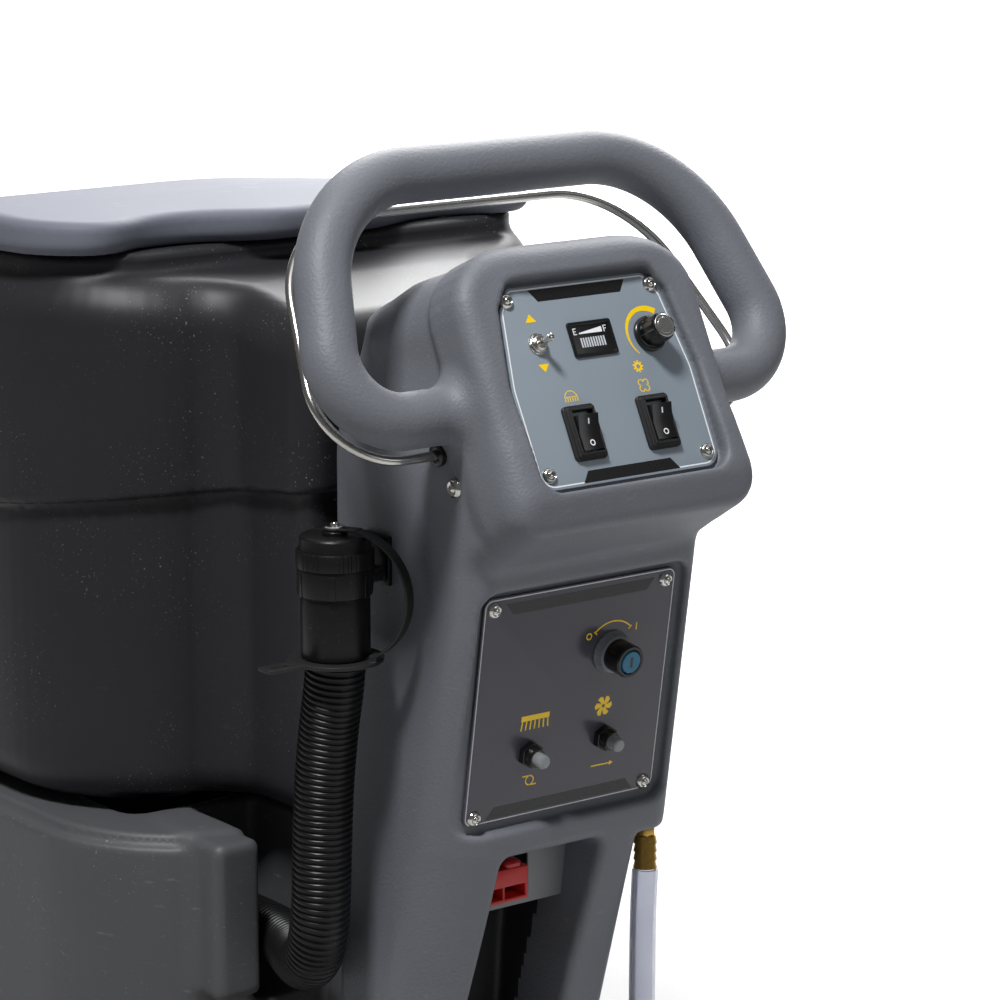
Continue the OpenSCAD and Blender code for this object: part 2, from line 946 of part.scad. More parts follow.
module tank_outer() {
    difference() {
        intersection() {
            union() {
                plan_prism(
                    box_outline(-tank_width / 2, tank_rear, tank_width / 2, tank_front, 160),
                    tank_floor, 980
                );
                plan_prism(box_outline(-136, -351, 136, tank_rear + 50, 18), tank_floor, 980);
            }
            side_prism(concat([[-356, tank_floor, 0.1]],
                [[tank_front, tank_floor, 0.1], [tank_front, 835, 20], [420, 862, 20]],
                [[-150, 922, 20], [-240, 912, 30], [-356, 890, 20]]), -300, 300);
        }
        // Drain pocket and hand gap at the lower edge
        both_sides()
            box_between([90, -400, tank_floor - 10], [232, -170, tank_floor + 13]);
    }
}
module recovery_tank() {
    color(tank_black)
        difference() {
            union() {
                tank_outer();
                // Boss and spigot of the suction hose, low on the back wall
                rod([194, -190, 650], [194, -248, 650], 28);
                rod([194, -200, 650], [194, -298, 650], 19);
                // Knuckle of the tank hinge
                box_between([-48, tank_front - 10, tank_floor + 2], [48, tank_hinge.y + 8, deck_z + 24]);
                // Ears of the lid hinge
                both_sides()
                    box_between([50, 448, 830], [80, lid_hinge.y + 10, lid_hinge.z + 9]);
            }
            intersection() {
                plan_prism(
                    box_outline(-tank_width / 2 + 6, tank_rear + 6, tank_width / 2 - 6, tank_front - 6, 154),
                    tank_floor + 20, 990
                );
                side_prism([
                    [-400, tank_floor + 20, 0.1], [tank_front - 6, tank_floor + 20, 0.1],
                    [tank_front - 6, 832, 20], [418, 854, 20], [-150, 915, 20], [-400, 889, 20]
                ], -300, 300);
            }
            box_between([-128, -344, tank_floor + 20], [128, -200, 882]);
            // Mouth under the lid
            plan_prism(box_outline(-190, -150, 190, 380, 60), 800, 990);
            rod([194, -180, 650], [194, -310, 650], 16);
            rod([-90, tank_hinge.y, tank_hinge.z], [90, tank_hinge.y, tank_hinge.z], pin_r);
            rod([-90, lid_hinge.y, lid_hinge.z], [90, lid_hinge.y, lid_hinge.z], pin_r);
        }
}
module hinge_pins() {
    color(steel)
        for (at = [tank_hinge, lid_hinge])
            rod([-pin_length / 2, at.y, at.z], [pin_length / 2, at.y, at.z], pin_r);
}
// Stand pipe of the suction air, with the float's cage on top
module float_cage() {
    color(black)
        translate([0, 320, tank_floor + 20]) {
            difference() {
                cylinder(h = 300, r = 26);
                translate([0, 0, -1])
                    cylinder(h = 302, r = 23);
            }
            translate([0, 0, 270])
                difference() {
                    cylinder(h = 80, r = 42);
                    translate([0, 0, -1])
                        cylinder(h = 77, r = 38);
                    for (a = [0:45:135])
                        rotate([0, 0, a])
                            translate([-50, -7, 10])
                                cube([100, 14, 56]);
                }
            translate([0, 0, 270])
                difference() {
                    cylinder(h = 4, r = 42);
                    translate([0, 0, -1])
                        cylinder(h = 6, r = 23);
                }
        }
}
module lid() {
    color(lid_grey)
        difference() {
            union() {
                intersection() {
                    plan_prism(box_outline(-262, -194, 262, 446, 150), 840, 990);
                    side_prism(lid_profile, -270, 270);
                }
                // Knuckle of the hinge and its web
                rod([-48.5, lid_hinge.y, lid_hinge.z], [48.5, lid_hinge.y, lid_hinge.z], 11);
                box_between([-48.5, 438, lid_hinge.z - 6], [48.5, lid_hinge.y, lid_hinge.z + 4]);
            }
            intersection() {
                plan_prism(box_outline(-254, -186, 254, 436, 142), 830, 989);
                side_prism(lid_inside, -269, 269);
            }
            rod([-90, lid_hinge.y, lid_hinge.z], [90, lid_hinge.y, lid_hinge.z], pin_r + running);
            // Finger notches at the back corners
            both_sides()
                box_between([96, -230, 900], [176, -176, 940]);
        }
}

// ---- Wheels and casters ----

// Hub with its half shaft, on the side given by s
module wheel_hub(s) {
    color("#b9babd")
        union() {
            rod([s * (wheel_x - wheel_w / 2), axle_y, wheel_r], [s * (wheel_x + wheel_w / 2), axle_y, wheel_r],
                wheel_r - 38);
            rod([s * 40, axle_y, wheel_r],
                [s * (wheel_x + wheel_w / 2 + 8), axle_y, wheel_r], axle_r);
        }
}
module wheel_tyre(s) {
    color("#2a2a2c")
        translate([s * wheel_x - wheel_w / 2, axle_y, wheel_r])
            rotate([0, 90, 0])
                rotate_extrude()
                    polygon(rounded([
                        [wheel_r - 38, 0, 2], [wheel_r, 0, 12],
                        [wheel_r, wheel_w, 12], [wheel_r - 38, wheel_w, 2]
                    ]));
}
module left_hub() {
    wheel_hub(-1);
}
module left_tyre() {
    wheel_tyre(-1);
}
module right_hub() {
    wheel_hub(1);
}
module right_tyre() {
    wheel_tyre(1);
}
module caster_fork(s) {
    color(steel)
        translate([s * caster_x, caster_y, 0]) {
            translate([0, 0, caster_top - 8])
                cylinder(h = 8, r = 32);
            translate([0, 0, caster_top - 1])
                cylinder(h = 24, r = 8);
            for (x = [-24, 19])
                translate([x, 0, 0])
                    rotate([90, 0, 90])
                        linear_extrude(5)
                            polygon(rounded([
                                [-26, caster_top - 4, 3], [-caster_trail - 14, caster_r, 12],
                                [-caster_trail, caster_r - 14, 10], [-caster_trail + 14, caster_r, 12],
                                [26, caster_top - 4, 3]
                            ]));
            translate([-28, -caster_trail, caster_r])
                rotate([0, 90, 0])
                    cylinder(h = 56, r = 4);
        }
}
module caster_wheel(s) {
    color("#7b7d80")
        translate([s * caster_x - 16, caster_y - caster_trail, caster_r])
            rotate([0, 90, 0])
                rotate_extrude()
                    polygon(rounded([
                        [4 + running, -1, 0.1], [16, -1, 1], [16, 0, 0.1], [caster_r, 0, 6],
                        [caster_r, 32, 6], [16, 32, 0.1], [16, 33, 1], [4 + running, 33, 0.1]
                    ]));
}
module left_caster_fork() {
    caster_fork(-1);
}
module right_caster_fork() {
    caster_fork(1);
}
module left_caster_wheel() {
    caster_wheel(-1);
}
module right_caster_wheel() {
    caster_wheel(1);
}

// ---- Brush deck ----

module deck_arms() {
    far = [arm_pivot.y + arm_length, arm_pivot.z - 4];
    color(black)
        both_sides() {
            box_between([123, arm_pivot.y - 12, arm_pivot.z - 10], [131, far.x + 12, arm_pivot.z + 1]);
            rod([108, arm_pivot.y, arm_pivot.z], [131, arm_pivot.y, arm_pivot.z], pin_r);
            rod([112, far.x, far.y], [131, far.x, far.y], pin_r);
        }
}
module brush_deck() {
    r = brush_d / 2 + 14;
    ear = [arm_pivot.y + arm_length - brush_y, arm_pivot.z - 4];
    color(black)
        translate([0, brush_y, 0])
            difference() {
                union() {
                    translate([0, 0, 30])
                        cylinder(h = 62, r = r);
                    both_sides()
                        box_between([104, -152, 80], [121.5, -100, 154]);
                }
                translate([0, 0, 20])
                    cylinder(h = 66, r = r - 6);
                cylinder(h = 200, r = 30);
                both_sides()
                    rod([90, ear.x, ear.y], [140, ear.x, ear.y], pin_r + running);
            }
}
module brush_motor() {
    color("#6c6f74")
        translate([0, brush_y, 0])
            difference() {
                union() {
                    translate([0, 0, 92])
                        cylinder(h = 10, r = 70);
                    translate([0, 0, 100])
                        cylinder(h = 50, r = 50);
                    translate([0, 0, 84])
                        cylinder(h = 10, r = 29);
                }
                translate([0, 0, 70])
                    cylinder(h = 50, r = 10 + running);
            }
}
module brush_disc() {
    color("#3a5f8a")
        translate([0, brush_y, 0])
            union() {
                translate([0, 0, 48])
                    cylinder(h = 18, r = brush_d / 2 - 8);
                translate([0, 0, 64])
                    cylinder(h = 12, r = 40);
                translate([0, 0, 70])
                    cylinder(h = 44, r = 10);
            }
}
module brush_bristles() {
    color("#2c4f86")
        translate([0, brush_y, 0])
            difference() {
                translate([0, 0, ground_gap])
                    cylinder(h = 48 - ground_gap, r = brush_d / 2);
                cylinder(h = 60, r = 110);
            }
}
module pedal(s) {
    difference() {
        union() {
            rod([s * (pedal_x - 8), pedal_y, pedal_z], [s * (pedal_x + 8), pedal_y, pedal_z], 13);
            box_between([min(s * (pedal_x - 5), s * (pedal_x + 5)), pedal_y - 150, pedal_z - 6],
                [max(s * (pedal_x - 5), s * (pedal_x + 5)), pedal_y, pedal_z + 6]);
            box_between([min(s * (pedal_x - 26), s * (pedal_x + 26)), pedal_y - 176, pedal_z - 4],
                [max(s * (pedal_x - 26), s * (pedal_x + 26)), pedal_y - 130, pedal_z + 10]);
        }
        rod([s * 200, pedal_y, pedal_z], [s * 300, pedal_y, pedal_z], pin_r + running);
    }
}
module brush_pedal() {
    color("#c8a21a")
        pedal(1);
}
module squeegee_pedal() {
    color("#c8a21a")
        pedal(-1);
}

// ---- Squeegee ----

module squeegee_arm() {
    color(black)
        difference() {
            union() {
                box_between([-18, squeegee_y - 20, squeegee_pivot.z - 20],
                    [18, squeegee_pivot.y + 10, squeegee_pivot.z - 8]);
                box_between([-18, squeegee_pivot.y - 10, squeegee_pivot.z - 20],
                    [18, squeegee_pivot.y + 10, squeegee_pivot.z + 10]);
                rod([-40, squeegee_pivot.y, squeegee_pivot.z], [40, squeegee_pivot.y, squeegee_pivot.z], pin_r);
            }
            translate([0, squeegee_y, 90])
                cylinder(h = 40, r = 8 + running);
        }
}
// Curved strip of the squeegee: an arc of the width between two radii
function squeegee_arc(r0, r1, half) =
    let (c = [0, squeegee_y - 48 + 900])
    concat(
        [for (a = [-half:half / 12:half]) c + r0 * [sin(a), -cos(a)]],
        [for (a = [half:-half / 12:-half]) c + r1 * [sin(a), -cos(a)]]
    );
module squeegee_body() {
    half = asin(squeegee_width / 2 / 900);
    color("#b4b6b8")
        difference() {
            union() {
                translate([0, 0, 62])
                    linear_extrude(22)
                        polygon(squeegee_arc(898, 830, half));
                translate([0, 0, 30])
                    linear_extrude(34)
                        polygon(squeegee_arc(890, 886, half));
                translate([0, 0, 30])
                    linear_extrude(34)
                        polygon(squeegee_arc(850, 846, half));
                // Swivel pin
                translate([0, squeegee_y, 80])
                    cylinder(h = 48, r = 8);
                // Suction spigot
                translate([70, squeegee_y, 80])
                    cylinder(h = 60, r = 19);
            }
            translate([70, squeegee_y, 50])
                cylinder(h = 120, r = 16);
        }
}
module squeegee_blades() {
    half = asin(squeegee_width / 2 / 900);
    color("#8a4a2a")
        for (r = [[893.5, 890.2], [845.8, 842.5]])
            translate([0, 0, ground_gap])
                linear_extrude(58)
                    polygon(squeegee_arc(r[0], r[1], half));
}

console_shell();
upper_panel();
lower_panel();
panel_fasteners();
side_screws();
toggle_body();
toggle_lever();
battery_gauge();
speed_control();
speed_knob();
knob_cap();
switch_housings();
brush_rocker();
vacuum_rocker();
key_switch();
key_barrel();
breaker_bodies();
brush_breaker_cap();
vacuum_breaker_cap();
connector_bracket();
charge_connector();
motor_controller();
bail();
bail_bushes();
level_hose();
level_barb();
drain_hose();
drain_cuff();
drain_cap();
cap_strap();
strap_screw();
hose_hook();
base_tank();
filler_cap();
batteries();
vacuum_motor();
chassis_frame();
transaxle();
recovery_tank();
hinge_pins();
float_cage();
lid();
left_hub();
left_tyre();
right_hub();
right_tyre();
left_caster_fork();
left_caster_wheel();
right_caster_fork();
right_caster_wheel();
deck_arms();
brush_deck();
brush_motor();
brush_disc();
brush_bristles();
brush_pedal();
squeegee_arm();
squeegee_body();
squeegee_blades();
squeegee_pedal();
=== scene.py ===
# Walk-behind wet and dry floor scrubber: a console on a pedestal, a recovery tank over a solution base,
# a disc brush deck and a squeegee. It is built up in the order the machine is put together.
import json
import math
import bmesh
import bpy
import numpy as np
from mathutils import Matrix, Vector

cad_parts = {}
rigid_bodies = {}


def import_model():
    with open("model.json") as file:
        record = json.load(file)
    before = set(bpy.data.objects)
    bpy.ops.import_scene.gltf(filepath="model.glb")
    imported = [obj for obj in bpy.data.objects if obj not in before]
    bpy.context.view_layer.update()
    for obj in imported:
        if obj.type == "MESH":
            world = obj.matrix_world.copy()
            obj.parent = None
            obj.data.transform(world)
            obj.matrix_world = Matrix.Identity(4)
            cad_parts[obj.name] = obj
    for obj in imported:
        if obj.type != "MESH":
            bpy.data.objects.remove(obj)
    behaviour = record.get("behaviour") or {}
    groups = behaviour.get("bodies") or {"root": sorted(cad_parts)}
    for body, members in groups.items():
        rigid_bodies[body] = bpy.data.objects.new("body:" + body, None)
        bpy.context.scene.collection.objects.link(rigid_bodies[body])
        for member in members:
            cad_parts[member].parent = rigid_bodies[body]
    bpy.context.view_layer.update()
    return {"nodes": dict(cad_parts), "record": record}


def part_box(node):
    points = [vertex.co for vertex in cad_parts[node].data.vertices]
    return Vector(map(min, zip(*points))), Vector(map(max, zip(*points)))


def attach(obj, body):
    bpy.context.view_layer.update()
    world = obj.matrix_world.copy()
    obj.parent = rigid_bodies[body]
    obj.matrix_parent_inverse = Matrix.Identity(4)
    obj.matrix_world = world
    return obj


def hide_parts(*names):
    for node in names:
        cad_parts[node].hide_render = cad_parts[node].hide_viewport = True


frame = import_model()
record = frame["record"]

# ---- Studio ----
# A pale floor under soft boxes. The camera stands behind the machine on its left, at the height of the handle,
# with a long lens.

def linear(hex_colour):
    """sRGB hex to linear RGBA."""
    parts = [int(hex_colour[i:i + 2], 16) / 255 for i in (1, 3, 5)]
    return [c / 12.92 if c <= 0.04045 else ((c + 0.055) / 1.055) ** 2.4 for c in parts] + [1.0]


def add(tree, kind, sockets=(), **settings):
    """Adds a node with its settings, and sets or links its inputs."""
    made = tree.nodes.new(kind)
    for key, value in settings.items():
        setattr(made, key, value)
    for key, value in dict(sockets).items():
        if isinstance(value, bpy.types.NodeSocket):
            tree.links.new(value, made.inputs[key])
        else:
            made.inputs[key].default_value = value
    return made


def new_finish(name):
    """A material with its tree, its shader and its Object coordinates."""
    material = bpy.data.materials.new(name)
    material.use_nodes = True
    tree = material.node_tree
    shader = tree.nodes["Principled BSDF"]
    return material, tree, shader, add(tree, "ShaderNodeTexCoord").outputs["Object"]


scene = bpy.context.scene
scene.view_settings.view_transform = "Standard"
camera = bpy.data.objects.new("camera", bpy.data.cameras.new("camera"))
scene.collection.objects.link(camera)
scene.camera = camera
camera.location = (-1.8398, -2.7976, 1.3938)
camera_turn = math.radians(-37.845)
camera.rotation_euler = (math.radians(77.848), 0, camera_turn)
camera.data.lens = 137.07
camera.data.sensor_width = 36


def sheet(name, corners):
    """One flat rectangle that isn't part of the machine."""
    mesh = bpy.data.meshes.new(name)
    mesh.from_pydata(corners, [], [(0, 1, 2, 3)])
    made = bpy.data.objects.new(name, mesh)
    scene.collection.objects.link(made)
    return made


floor_half, wall_half, wall_high = 9, 2.2, 1.5
floor = sheet("studio_floor", [(-floor_half, -floor_half, 0), (floor_half, -floor_half, 0),
                               (floor_half, floor_half, 0), (-floor_half, floor_half, 0)])
# Matt floor paint, rolled on: even and pale, with a faint roller stipple.
floor_paint, tree, shader, place = new_finish("matt_white_floor_paint")
roller = add(tree, "ShaderNodeTexNoise", {"Vector": place, "Scale": 260.0, "Detail": 3.0})
tone = add(tree, "ShaderNodeMix", {"Factor": roller.outputs["Fac"], "A": linear("#b6b6b6"), "B": linear("#bebebe")},
           data_type="RGBA")
tree.links.new(tone.outputs["Result"], shader.inputs["Base Color"])
shader.inputs["Roughness"].default_value = 0.8
floor.data.materials.append(floor_paint)

wall = sheet("studio_wall", [(-wall_half, 0, -0.1), (wall_half, 0, -0.1),
                             (wall_half, 0, wall_high), (-wall_half, 0, wall_high)])
wall.location = (2.15, 2.77, 0)
wall.rotation_euler = (0, 0, camera_turn)
# White cloth lit from behind: it glows evenly, with a trace of its weave.
wall_paint, tree, shader, place = new_finish("backlit_white_cloth")
weave = add(tree, "ShaderNodeTexNoise", {"Vector": place, "Scale": 400.0, "Detail": 2.0})
glow = add(tree, "ShaderNodeMapRange", {"Value": weave.outputs["Fac"], "To Min": 0.97, "To Max": 1.0})
tree.links.new(glow.outputs[0], shader.inputs["Emission Strength"])
shader.inputs["Emission Color"].default_value = linear("#ffffff")
shader.inputs["Base Color"].default_value = linear("#e8e8e8")
wall.data.materials.append(wall_paint)

world = bpy.data.worlds.new("studio")
scene.world = world
world.use_nodes = True
world.node_tree.nodes["Background"].inputs["Color"].default_value = linear("#ffffff")
world.node_tree.nodes["Background"].inputs["Strength"].default_value = 0.11


def soft_box(name, position, target, size, watts):
    lamp = bpy.data.lights.new(name, "AREA")
    lamp.shape = "RECTANGLE"
    lamp.size, lamp.size_y = size
    lamp.energy = watts
    stand = bpy.data.objects.new(name, lamp)
    scene.collection.objects.link(stand)
    stand.location = position
    aim = Vector(target) - Vector(position)
    stand.rotation_euler = aim.to_track_quat("-Z", "Y").to_euler()


soft_box("key_box", (-1.6, -1.2, 4.1), (0, -0.4, 0.8), (0.6, 0.6), 165)
soft_box("fill_box", (1.2, -4.0, 2.4), (0, -0.4, 0.8), (2.0, 1.6), 15)
soft_box("top_box", (0.8, -0.6, 4.0), (0, -0.3, 0.5), (2.4, 2.4), 14)
soft_box("floor_box", (2.2, 1.6, 2.6), (1.4, 0.8, 0), (2.5, 2.5), 230)

# ---- Panel places ----
# The upper panel leans back and the lower one is undercut. Each has x to the right, y up the panel and z out of it,
# and everything on the console is placed from the upper panel's centre. Sizes from here on are in millimetres.

MM = 0.001


def in_mm(node):
    low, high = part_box(node)
    return np.array(low) / MM, np.array(high) / MM


upper_tilt, lower_tilt = math.radians(26.9), math.radians(8.7)
panel_thick = 2.9


def panel_place(node, tilt, middle):
    """Placing of a panel's own millimetres. middle is the panel's y at the centre of its box."""
    up = np.array([0, math.sin(tilt), math.cos(tilt)])
    out = np.array([0, -math.cos(tilt), math.sin(tilt)])
    low, high = in_mm(node)
    placing = np.eye(4)
    placing[:3, 1], placing[:3, 2] = up, out
    placing[:3, 3] = (low + high) / 2 + out * panel_thick / 2 - up * middle
    return placing


upper = panel_place("upper_panel", upper_tilt, -1.0)
lower = panel_place("lower_panel", -lower_tilt, 1.5)
console = np.eye(4)
console[:3, 3] = upper[:3, 3]

# ---- Drain hose ----
# A ribbed polyethylene suction hose, 48 mm over the ribs, hangs in its hook on the console's left side. It falls
# behind the column, turns forwards low down and ends on the drain outlet inside the base.


def moulded(name, colour, shade, rough, pebble_mm=1.3, relief=0.5, dust=0.0, rubs=0.0, rub_colour="#9a9ca0",
            spec=0.5):
    """Moulded plastic, rubber or paint: a fine pebble, cloudy in tone, with dust in the low spots and pale rubs where
    hands and boots touch it."""
    material, tree, shader, place = new_finish(name)
    cloud = add(tree, "ShaderNodeTexNoise", {"Vector": place, "Scale": 7.0, "Detail": 5.0, "Roughness": 0.6})
    tone = add(tree, "ShaderNodeMix", {"Factor": cloud.outputs["Fac"], "A": linear(shade), "B": linear(colour)},
               data_type="RGBA")
    surface = tone.outputs["Result"]
    pebble = add(tree, "ShaderNodeTexNoise", {"Vector": place, "Scale": 1000 / pebble_mm, "Detail": 2.0})
    if dust:
        speck = add(tree, "ShaderNodeTexNoise", {"Vector": place, "Scale": 560.0, "Detail": 1.0})
        fleck = add(tree, "ShaderNodeMapRange", {"Value": speck.outputs["Fac"], "From Min": 0.7, "From Max": 0.76})
        patch = add(tree, "ShaderNodeTexNoise", {"Vector": place, "Scale": 11.0, "Detail": 3.0})
        where = add(tree, "ShaderNodeMapRange", {"Value": patch.outputs["Fac"], "From Min": 0.45, "From Max": 0.7,
                                                 "To Max": dust})
        amount = add(tree, "ShaderNodeMath", {0: fleck.outputs[0], 1: where.outputs[0]}, operation="MULTIPLY")
        dusted = add(tree, "ShaderNodeMix", {"Factor": amount.outputs[0], "A": surface, "B": linear("#b4b2ab")},
                     data_type="RGBA")
        surface = dusted.outputs["Result"]
    if rubs:
        stretch = add(tree, "ShaderNodeMapping", {"Vector": place, "Scale": (38.0, 60.0, 190.0),
                                                  "Rotation": (0.5, 0.3, 0.2)})
        streak = add(tree, "ShaderNodeTexNoise", {"Vector": stretch.outputs[0], "Scale": 1.0, "Detail": 4.0})
        line = add(tree, "ShaderNodeMapRange", {"Value": streak.outputs["Fac"], "From Min": 0.66, "From Max": 0.8,
                                                "To Max": rubs})
        rubbed = add(tree, "ShaderNodeMix", {"Factor": line.outputs[0], "A": surface, "B": linear(rub_colour)},
                     data_type="RGBA")
        surface = rubbed.outputs["Result"]
    tree.links.new(surface, shader.inputs["Base Color"])
    gloss = add(tree, "ShaderNodeMapRange", {"Value": cloud.outputs["Fac"], "To Min": rough[0], "To Max": rough[1]})
    tree.links.new(gloss.outputs[0], shader.inputs["Roughness"])
    shader.inputs["Specular IOR Level"].default_value = spec
    bump = add(tree, "ShaderNodeBump", {"Height": pebble.outputs["Fac"], "Strength": relief, "Distance": 0.0004})
    tree.links.new(bump.outputs[0], shader.inputs["Normal"])
    return material


# Polypropylene from a polished mould: near black and satin, with a little dust.
black_moulding = moulded("moulded_black_polypropylene", "#131314", "#0e0e0f", (0.3, 0.4), 0.6, 0.12, dust=0.15,
                         spec=0.3)


def in_metres(verts, placing=None):
    """Vertices in mm, turned and moved by placing, in metres."""
    verts = np.asarray(verts, float)
    if placing is not None:
        placing = np.array(placing)
        verts = verts @ placing[:3, :3].T + placing[:3, 3]
    return verts * MM


def smooth_route(points, fine=10):
    """Points along a smooth curve through the given ones."""
    points = np.array(points, float)
    ends = np.vstack([2 * points[0] - points[1], points, 2 * points[-1] - points[-2]])
    t = (np.arange(fine) / fine)[:, None]
    route = [0.5 * (2 * ends[i] + (ends[i + 1] - ends[i - 1]) * t
                    + (2 * ends[i - 1] - 5 * ends[i] + 4 * ends[i + 1] - ends[i + 2]) * t ** 2
                    + (3 * ends[i] - ends[i - 1] - 3 * ends[i + 1] + ends[i + 2]) * t ** 3)
             for i in range(1, len(points))]
    return np.vstack(route + [points[-1:]])


def new_rule(name, sizes):
    """An empty Geometry Nodes tree with a Geometry input, named size inputs and a Geometry output."""
    tree = bpy.data.node_groups.new(name, "GeometryNodeTree")
    tree.interface.new_socket(name="Geometry", in_out="INPUT", socket_type="NodeSocketGeometry")
    for size in sizes:
        tree.interface.new_socket(name=size, in_out="INPUT", socket_type="NodeSocketFloat")
    tree.interface.new_socket(name="Geometry", in_out="OUTPUT", socket_type="NodeSocketGeometry")
    return tree, add(tree, "NodeGroupInput").outputs


def end_rule(tree, geometry, material):
    """Closes a tree: real copies, painted, to the output."""
    whole = add(tree, "GeometryNodeRealizeInstances", {"Geometry": geometry})
    painted = add(tree, "GeometryNodeSetMaterial", {"Geometry": whole.outputs[0], "Material": material})
    add(tree, "NodeGroupOutput", {"Geometry": painted.outputs[0]})


def run_rule(name, source, tree, sizes, sharp=35):
    """Runs the tree on source and returns the result as a plain mesh object."""
    modifier = source.modifiers.new(tree.name, "NODES")
    modifier.node_group = tree
    for item in tree.interface.items_tree:
        if item.in_out == "INPUT" and item.name in sizes:
            modifier[item.identifier] = float(sizes[item.name])
    bpy.context.view_layer.update()
    ready = source.evaluated_get(bpy.context.evaluated_depsgraph_get())
    mesh = bpy.data.meshes.new_from_object(ready)
    mesh.name = name
    source.modifiers.clear()
    bpy.data.objects.remove(source)
    mesh.shade_smooth()
    mesh.set_sharp_from_angle(angle=math.radians(sharp))
    made = bpy.data.objects.new(name, mesh)
    scene.collection.objects.link(made)
    return made


def line_of(name, route):
    """A curve object of one open spline through the route, in metres."""
    line = bpy.data.curves.new(name, "CURVE")
    line.dimensions = "3D"
    spline = line.splines.new("POLY")
    spline.points.add(len(route) - 1)
    spline.points.foreach_set("co", np.column_stack([route * MM, np.ones(len(route))]).ravel())
    made = bpy.data.objects.new(name, line)
    scene.collection.objects.link(made)
    return made


hose_r, hose_pitch, hose_rib = 24.0, 5.2, 2.1
hose_route = [
    (-165, 128, -206), (-165, 128, -225), (-165, 132, -252), (-165, 139, -285), (-165, 146, -335),
    (-165, 150, -395), (-164, 153, -430), (-162, 160, -458), (-157, 174, -481), (-149, 195, -495),
    (-139, 220, -500), (-129, 247, -500), (-122, 275, -500), (-120, 300, -500), (-120, 354.7, -500)]
hose_line = in_metres(smooth_route(hose_route, 12), console) / MM

ribbed, given = new_rule("ribbed_hose", ["Radius", "Pitch", "Rib"])
even = add(ribbed, "GeometryNodeResampleCurve", {"Curve": given["Geometry"], "Length": 0.00052}, mode="LENGTH")
along = add(ribbed, "GeometryNodeSplineParameter")
turns = add(ribbed, "ShaderNodeMath", {0: along.outputs["Length"], 1: given["Pitch"]}, operation="DIVIDE")
angle = add(ribbed, "ShaderNodeMath", {0: turns.outputs[0], 1: 2 * math.pi}, operation="MULTIPLY")
swell = add(ribbed, "ShaderNodeMath", {0: angle.outputs[0]}, operation="SINE")
crest = add(ribbed, "ShaderNodeMapRange", {"Value": swell.outputs[0], "From Min": -0.7, "From Max": 0.35},
            interpolation_type="SMOOTHSTEP")
drop = add(ribbed, "ShaderNodeMath", {0: given["Rib"], 1: crest.outputs[0]}, operation="MULTIPLY")
root = add(ribbed, "ShaderNodeMath", {0: given["Radius"], 1: given["Rib"]}, operation="SUBTRACT")
full = add(ribbed, "ShaderNodeMath", {0: root.outputs[0], 1: drop.outputs[0]}, operation="ADD")
sized = add(ribbed, "GeometryNodeSetCurveRadius", {"Curve": even.outputs[0], "Radius": full.outputs[0]})
section = add(ribbed, "GeometryNodeCurvePrimitiveCircle", {"Resolution": 44, "Radius": 1.0})
tube = add(ribbed, "GeometryNodeCurveToMesh", {"Curve": sized.outputs[0], "Profile Curve": section.outputs[0],
                                               "Fill Caps": True})
if "Scale" in tube.inputs:
    ribbed.links.new(full.outputs[0], tube.inputs["Scale"])
end_rule(ribbed, tube.outputs[0], black_moulding)
drain_hose = run_rule("drain_hose", line_of("drain_hose_line", hose_line), ribbed,
                      {"Radius": hose_r * MM, "Pitch": hose_pitch * MM, "Rib": hose_rib * MM}, sharp=80)
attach(drain_hose, "machine")
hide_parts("drain_hose")

# ---- Level hose ----
# A clear PVC tube on the right shows how full the solution tank is. It is pushed on a brass barb under the rim of
# the console, and runs down beside the leg and forwards into the base.

body_of = {n: body for body, nodes in record["behaviour"]["bodies"].items() for n in nodes}


def bands(rings, count, closed=True):
    """Faces that join each ring of count points to the next, and the last to the first if closed."""
    return [(i * count + k, i * count + (k + 1) % count,
             (i + 1) % rings * count + (k + 1) % count, (i + 1) % rings * count + k)
            for i in range(rings if closed else rings - 1) for k in range(count)]


def rings_along(route, radius, sides=32):
    """Round sections along a route, turned as little as possible from one to the next."""
    tangent = np.gradient(route, axis=0)
    tangent /= np.linalg.norm(tangent, axis=1)[:, None]
    side = np.cross(tangent[0], [1.0, 0.02, 0.01])
    rings = []
    for point, along in zip(route, tangent):
        side = side - along * (side @ along)
        side /= np.linalg.norm(side)
        other = np.cross(along, side)
        angle = np.arange(sides)[:, None] * 2 * math.pi / sides
        rings.append(point + radius * (np.cos(angle) * side + np.sin(angle) * other))
    return rings


def solid(name, parts, placing=None, sharp=32):
    """One closed mesh object from (vertices, faces) parts."""
    verts, faces = [], []
    for part_verts, part_faces in parts:
        faces += [tuple(int(i) + len(verts) for i in face) for face in part_faces]
        verts += [tuple(v) for v in part_verts]
    mesh = bpy.data.meshes.new(name)
    mesh.from_pydata([tuple(v) for v in in_metres(verts, placing)], [], faces)
    shape = bmesh.new()
    shape.from_mesh(mesh)
    bmesh.ops.recalc_face_normals(shape, faces=shape.faces)
    shape.to_mesh(mesh)
    shape.free()
    mesh.shade_smooth()
    mesh.set_sharp_from_angle(angle=math.radians(sharp))
    made = bpy.data.objects.new(name, mesh)
    scene.collection.objects.link(made)
    return made


def fit(piece, material, *nodes, body=None, slot=None):
    """Gives a piece its material and body, and puts it in the place of its CAD nodes. The slot argument is not used.
    """
    piece.data.materials.append(material)
    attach(piece, body or body_of[nodes[0]])
    if nodes:
        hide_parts(*nodes)
    return piece


level_r, level_bore = 11.0, 8.4
level_route = [
    (100, 64, -431), (100, 66, -470), (102, 69, -515), (107, 75, -555), (115, 84, -588),
    (122, 97, -612), (126, 118, -628), (127, 150, -634), (127, 200, -634), (127, 261.7, -634)]
level_line = in_metres(smooth_route(level_route, 12), console) / MM

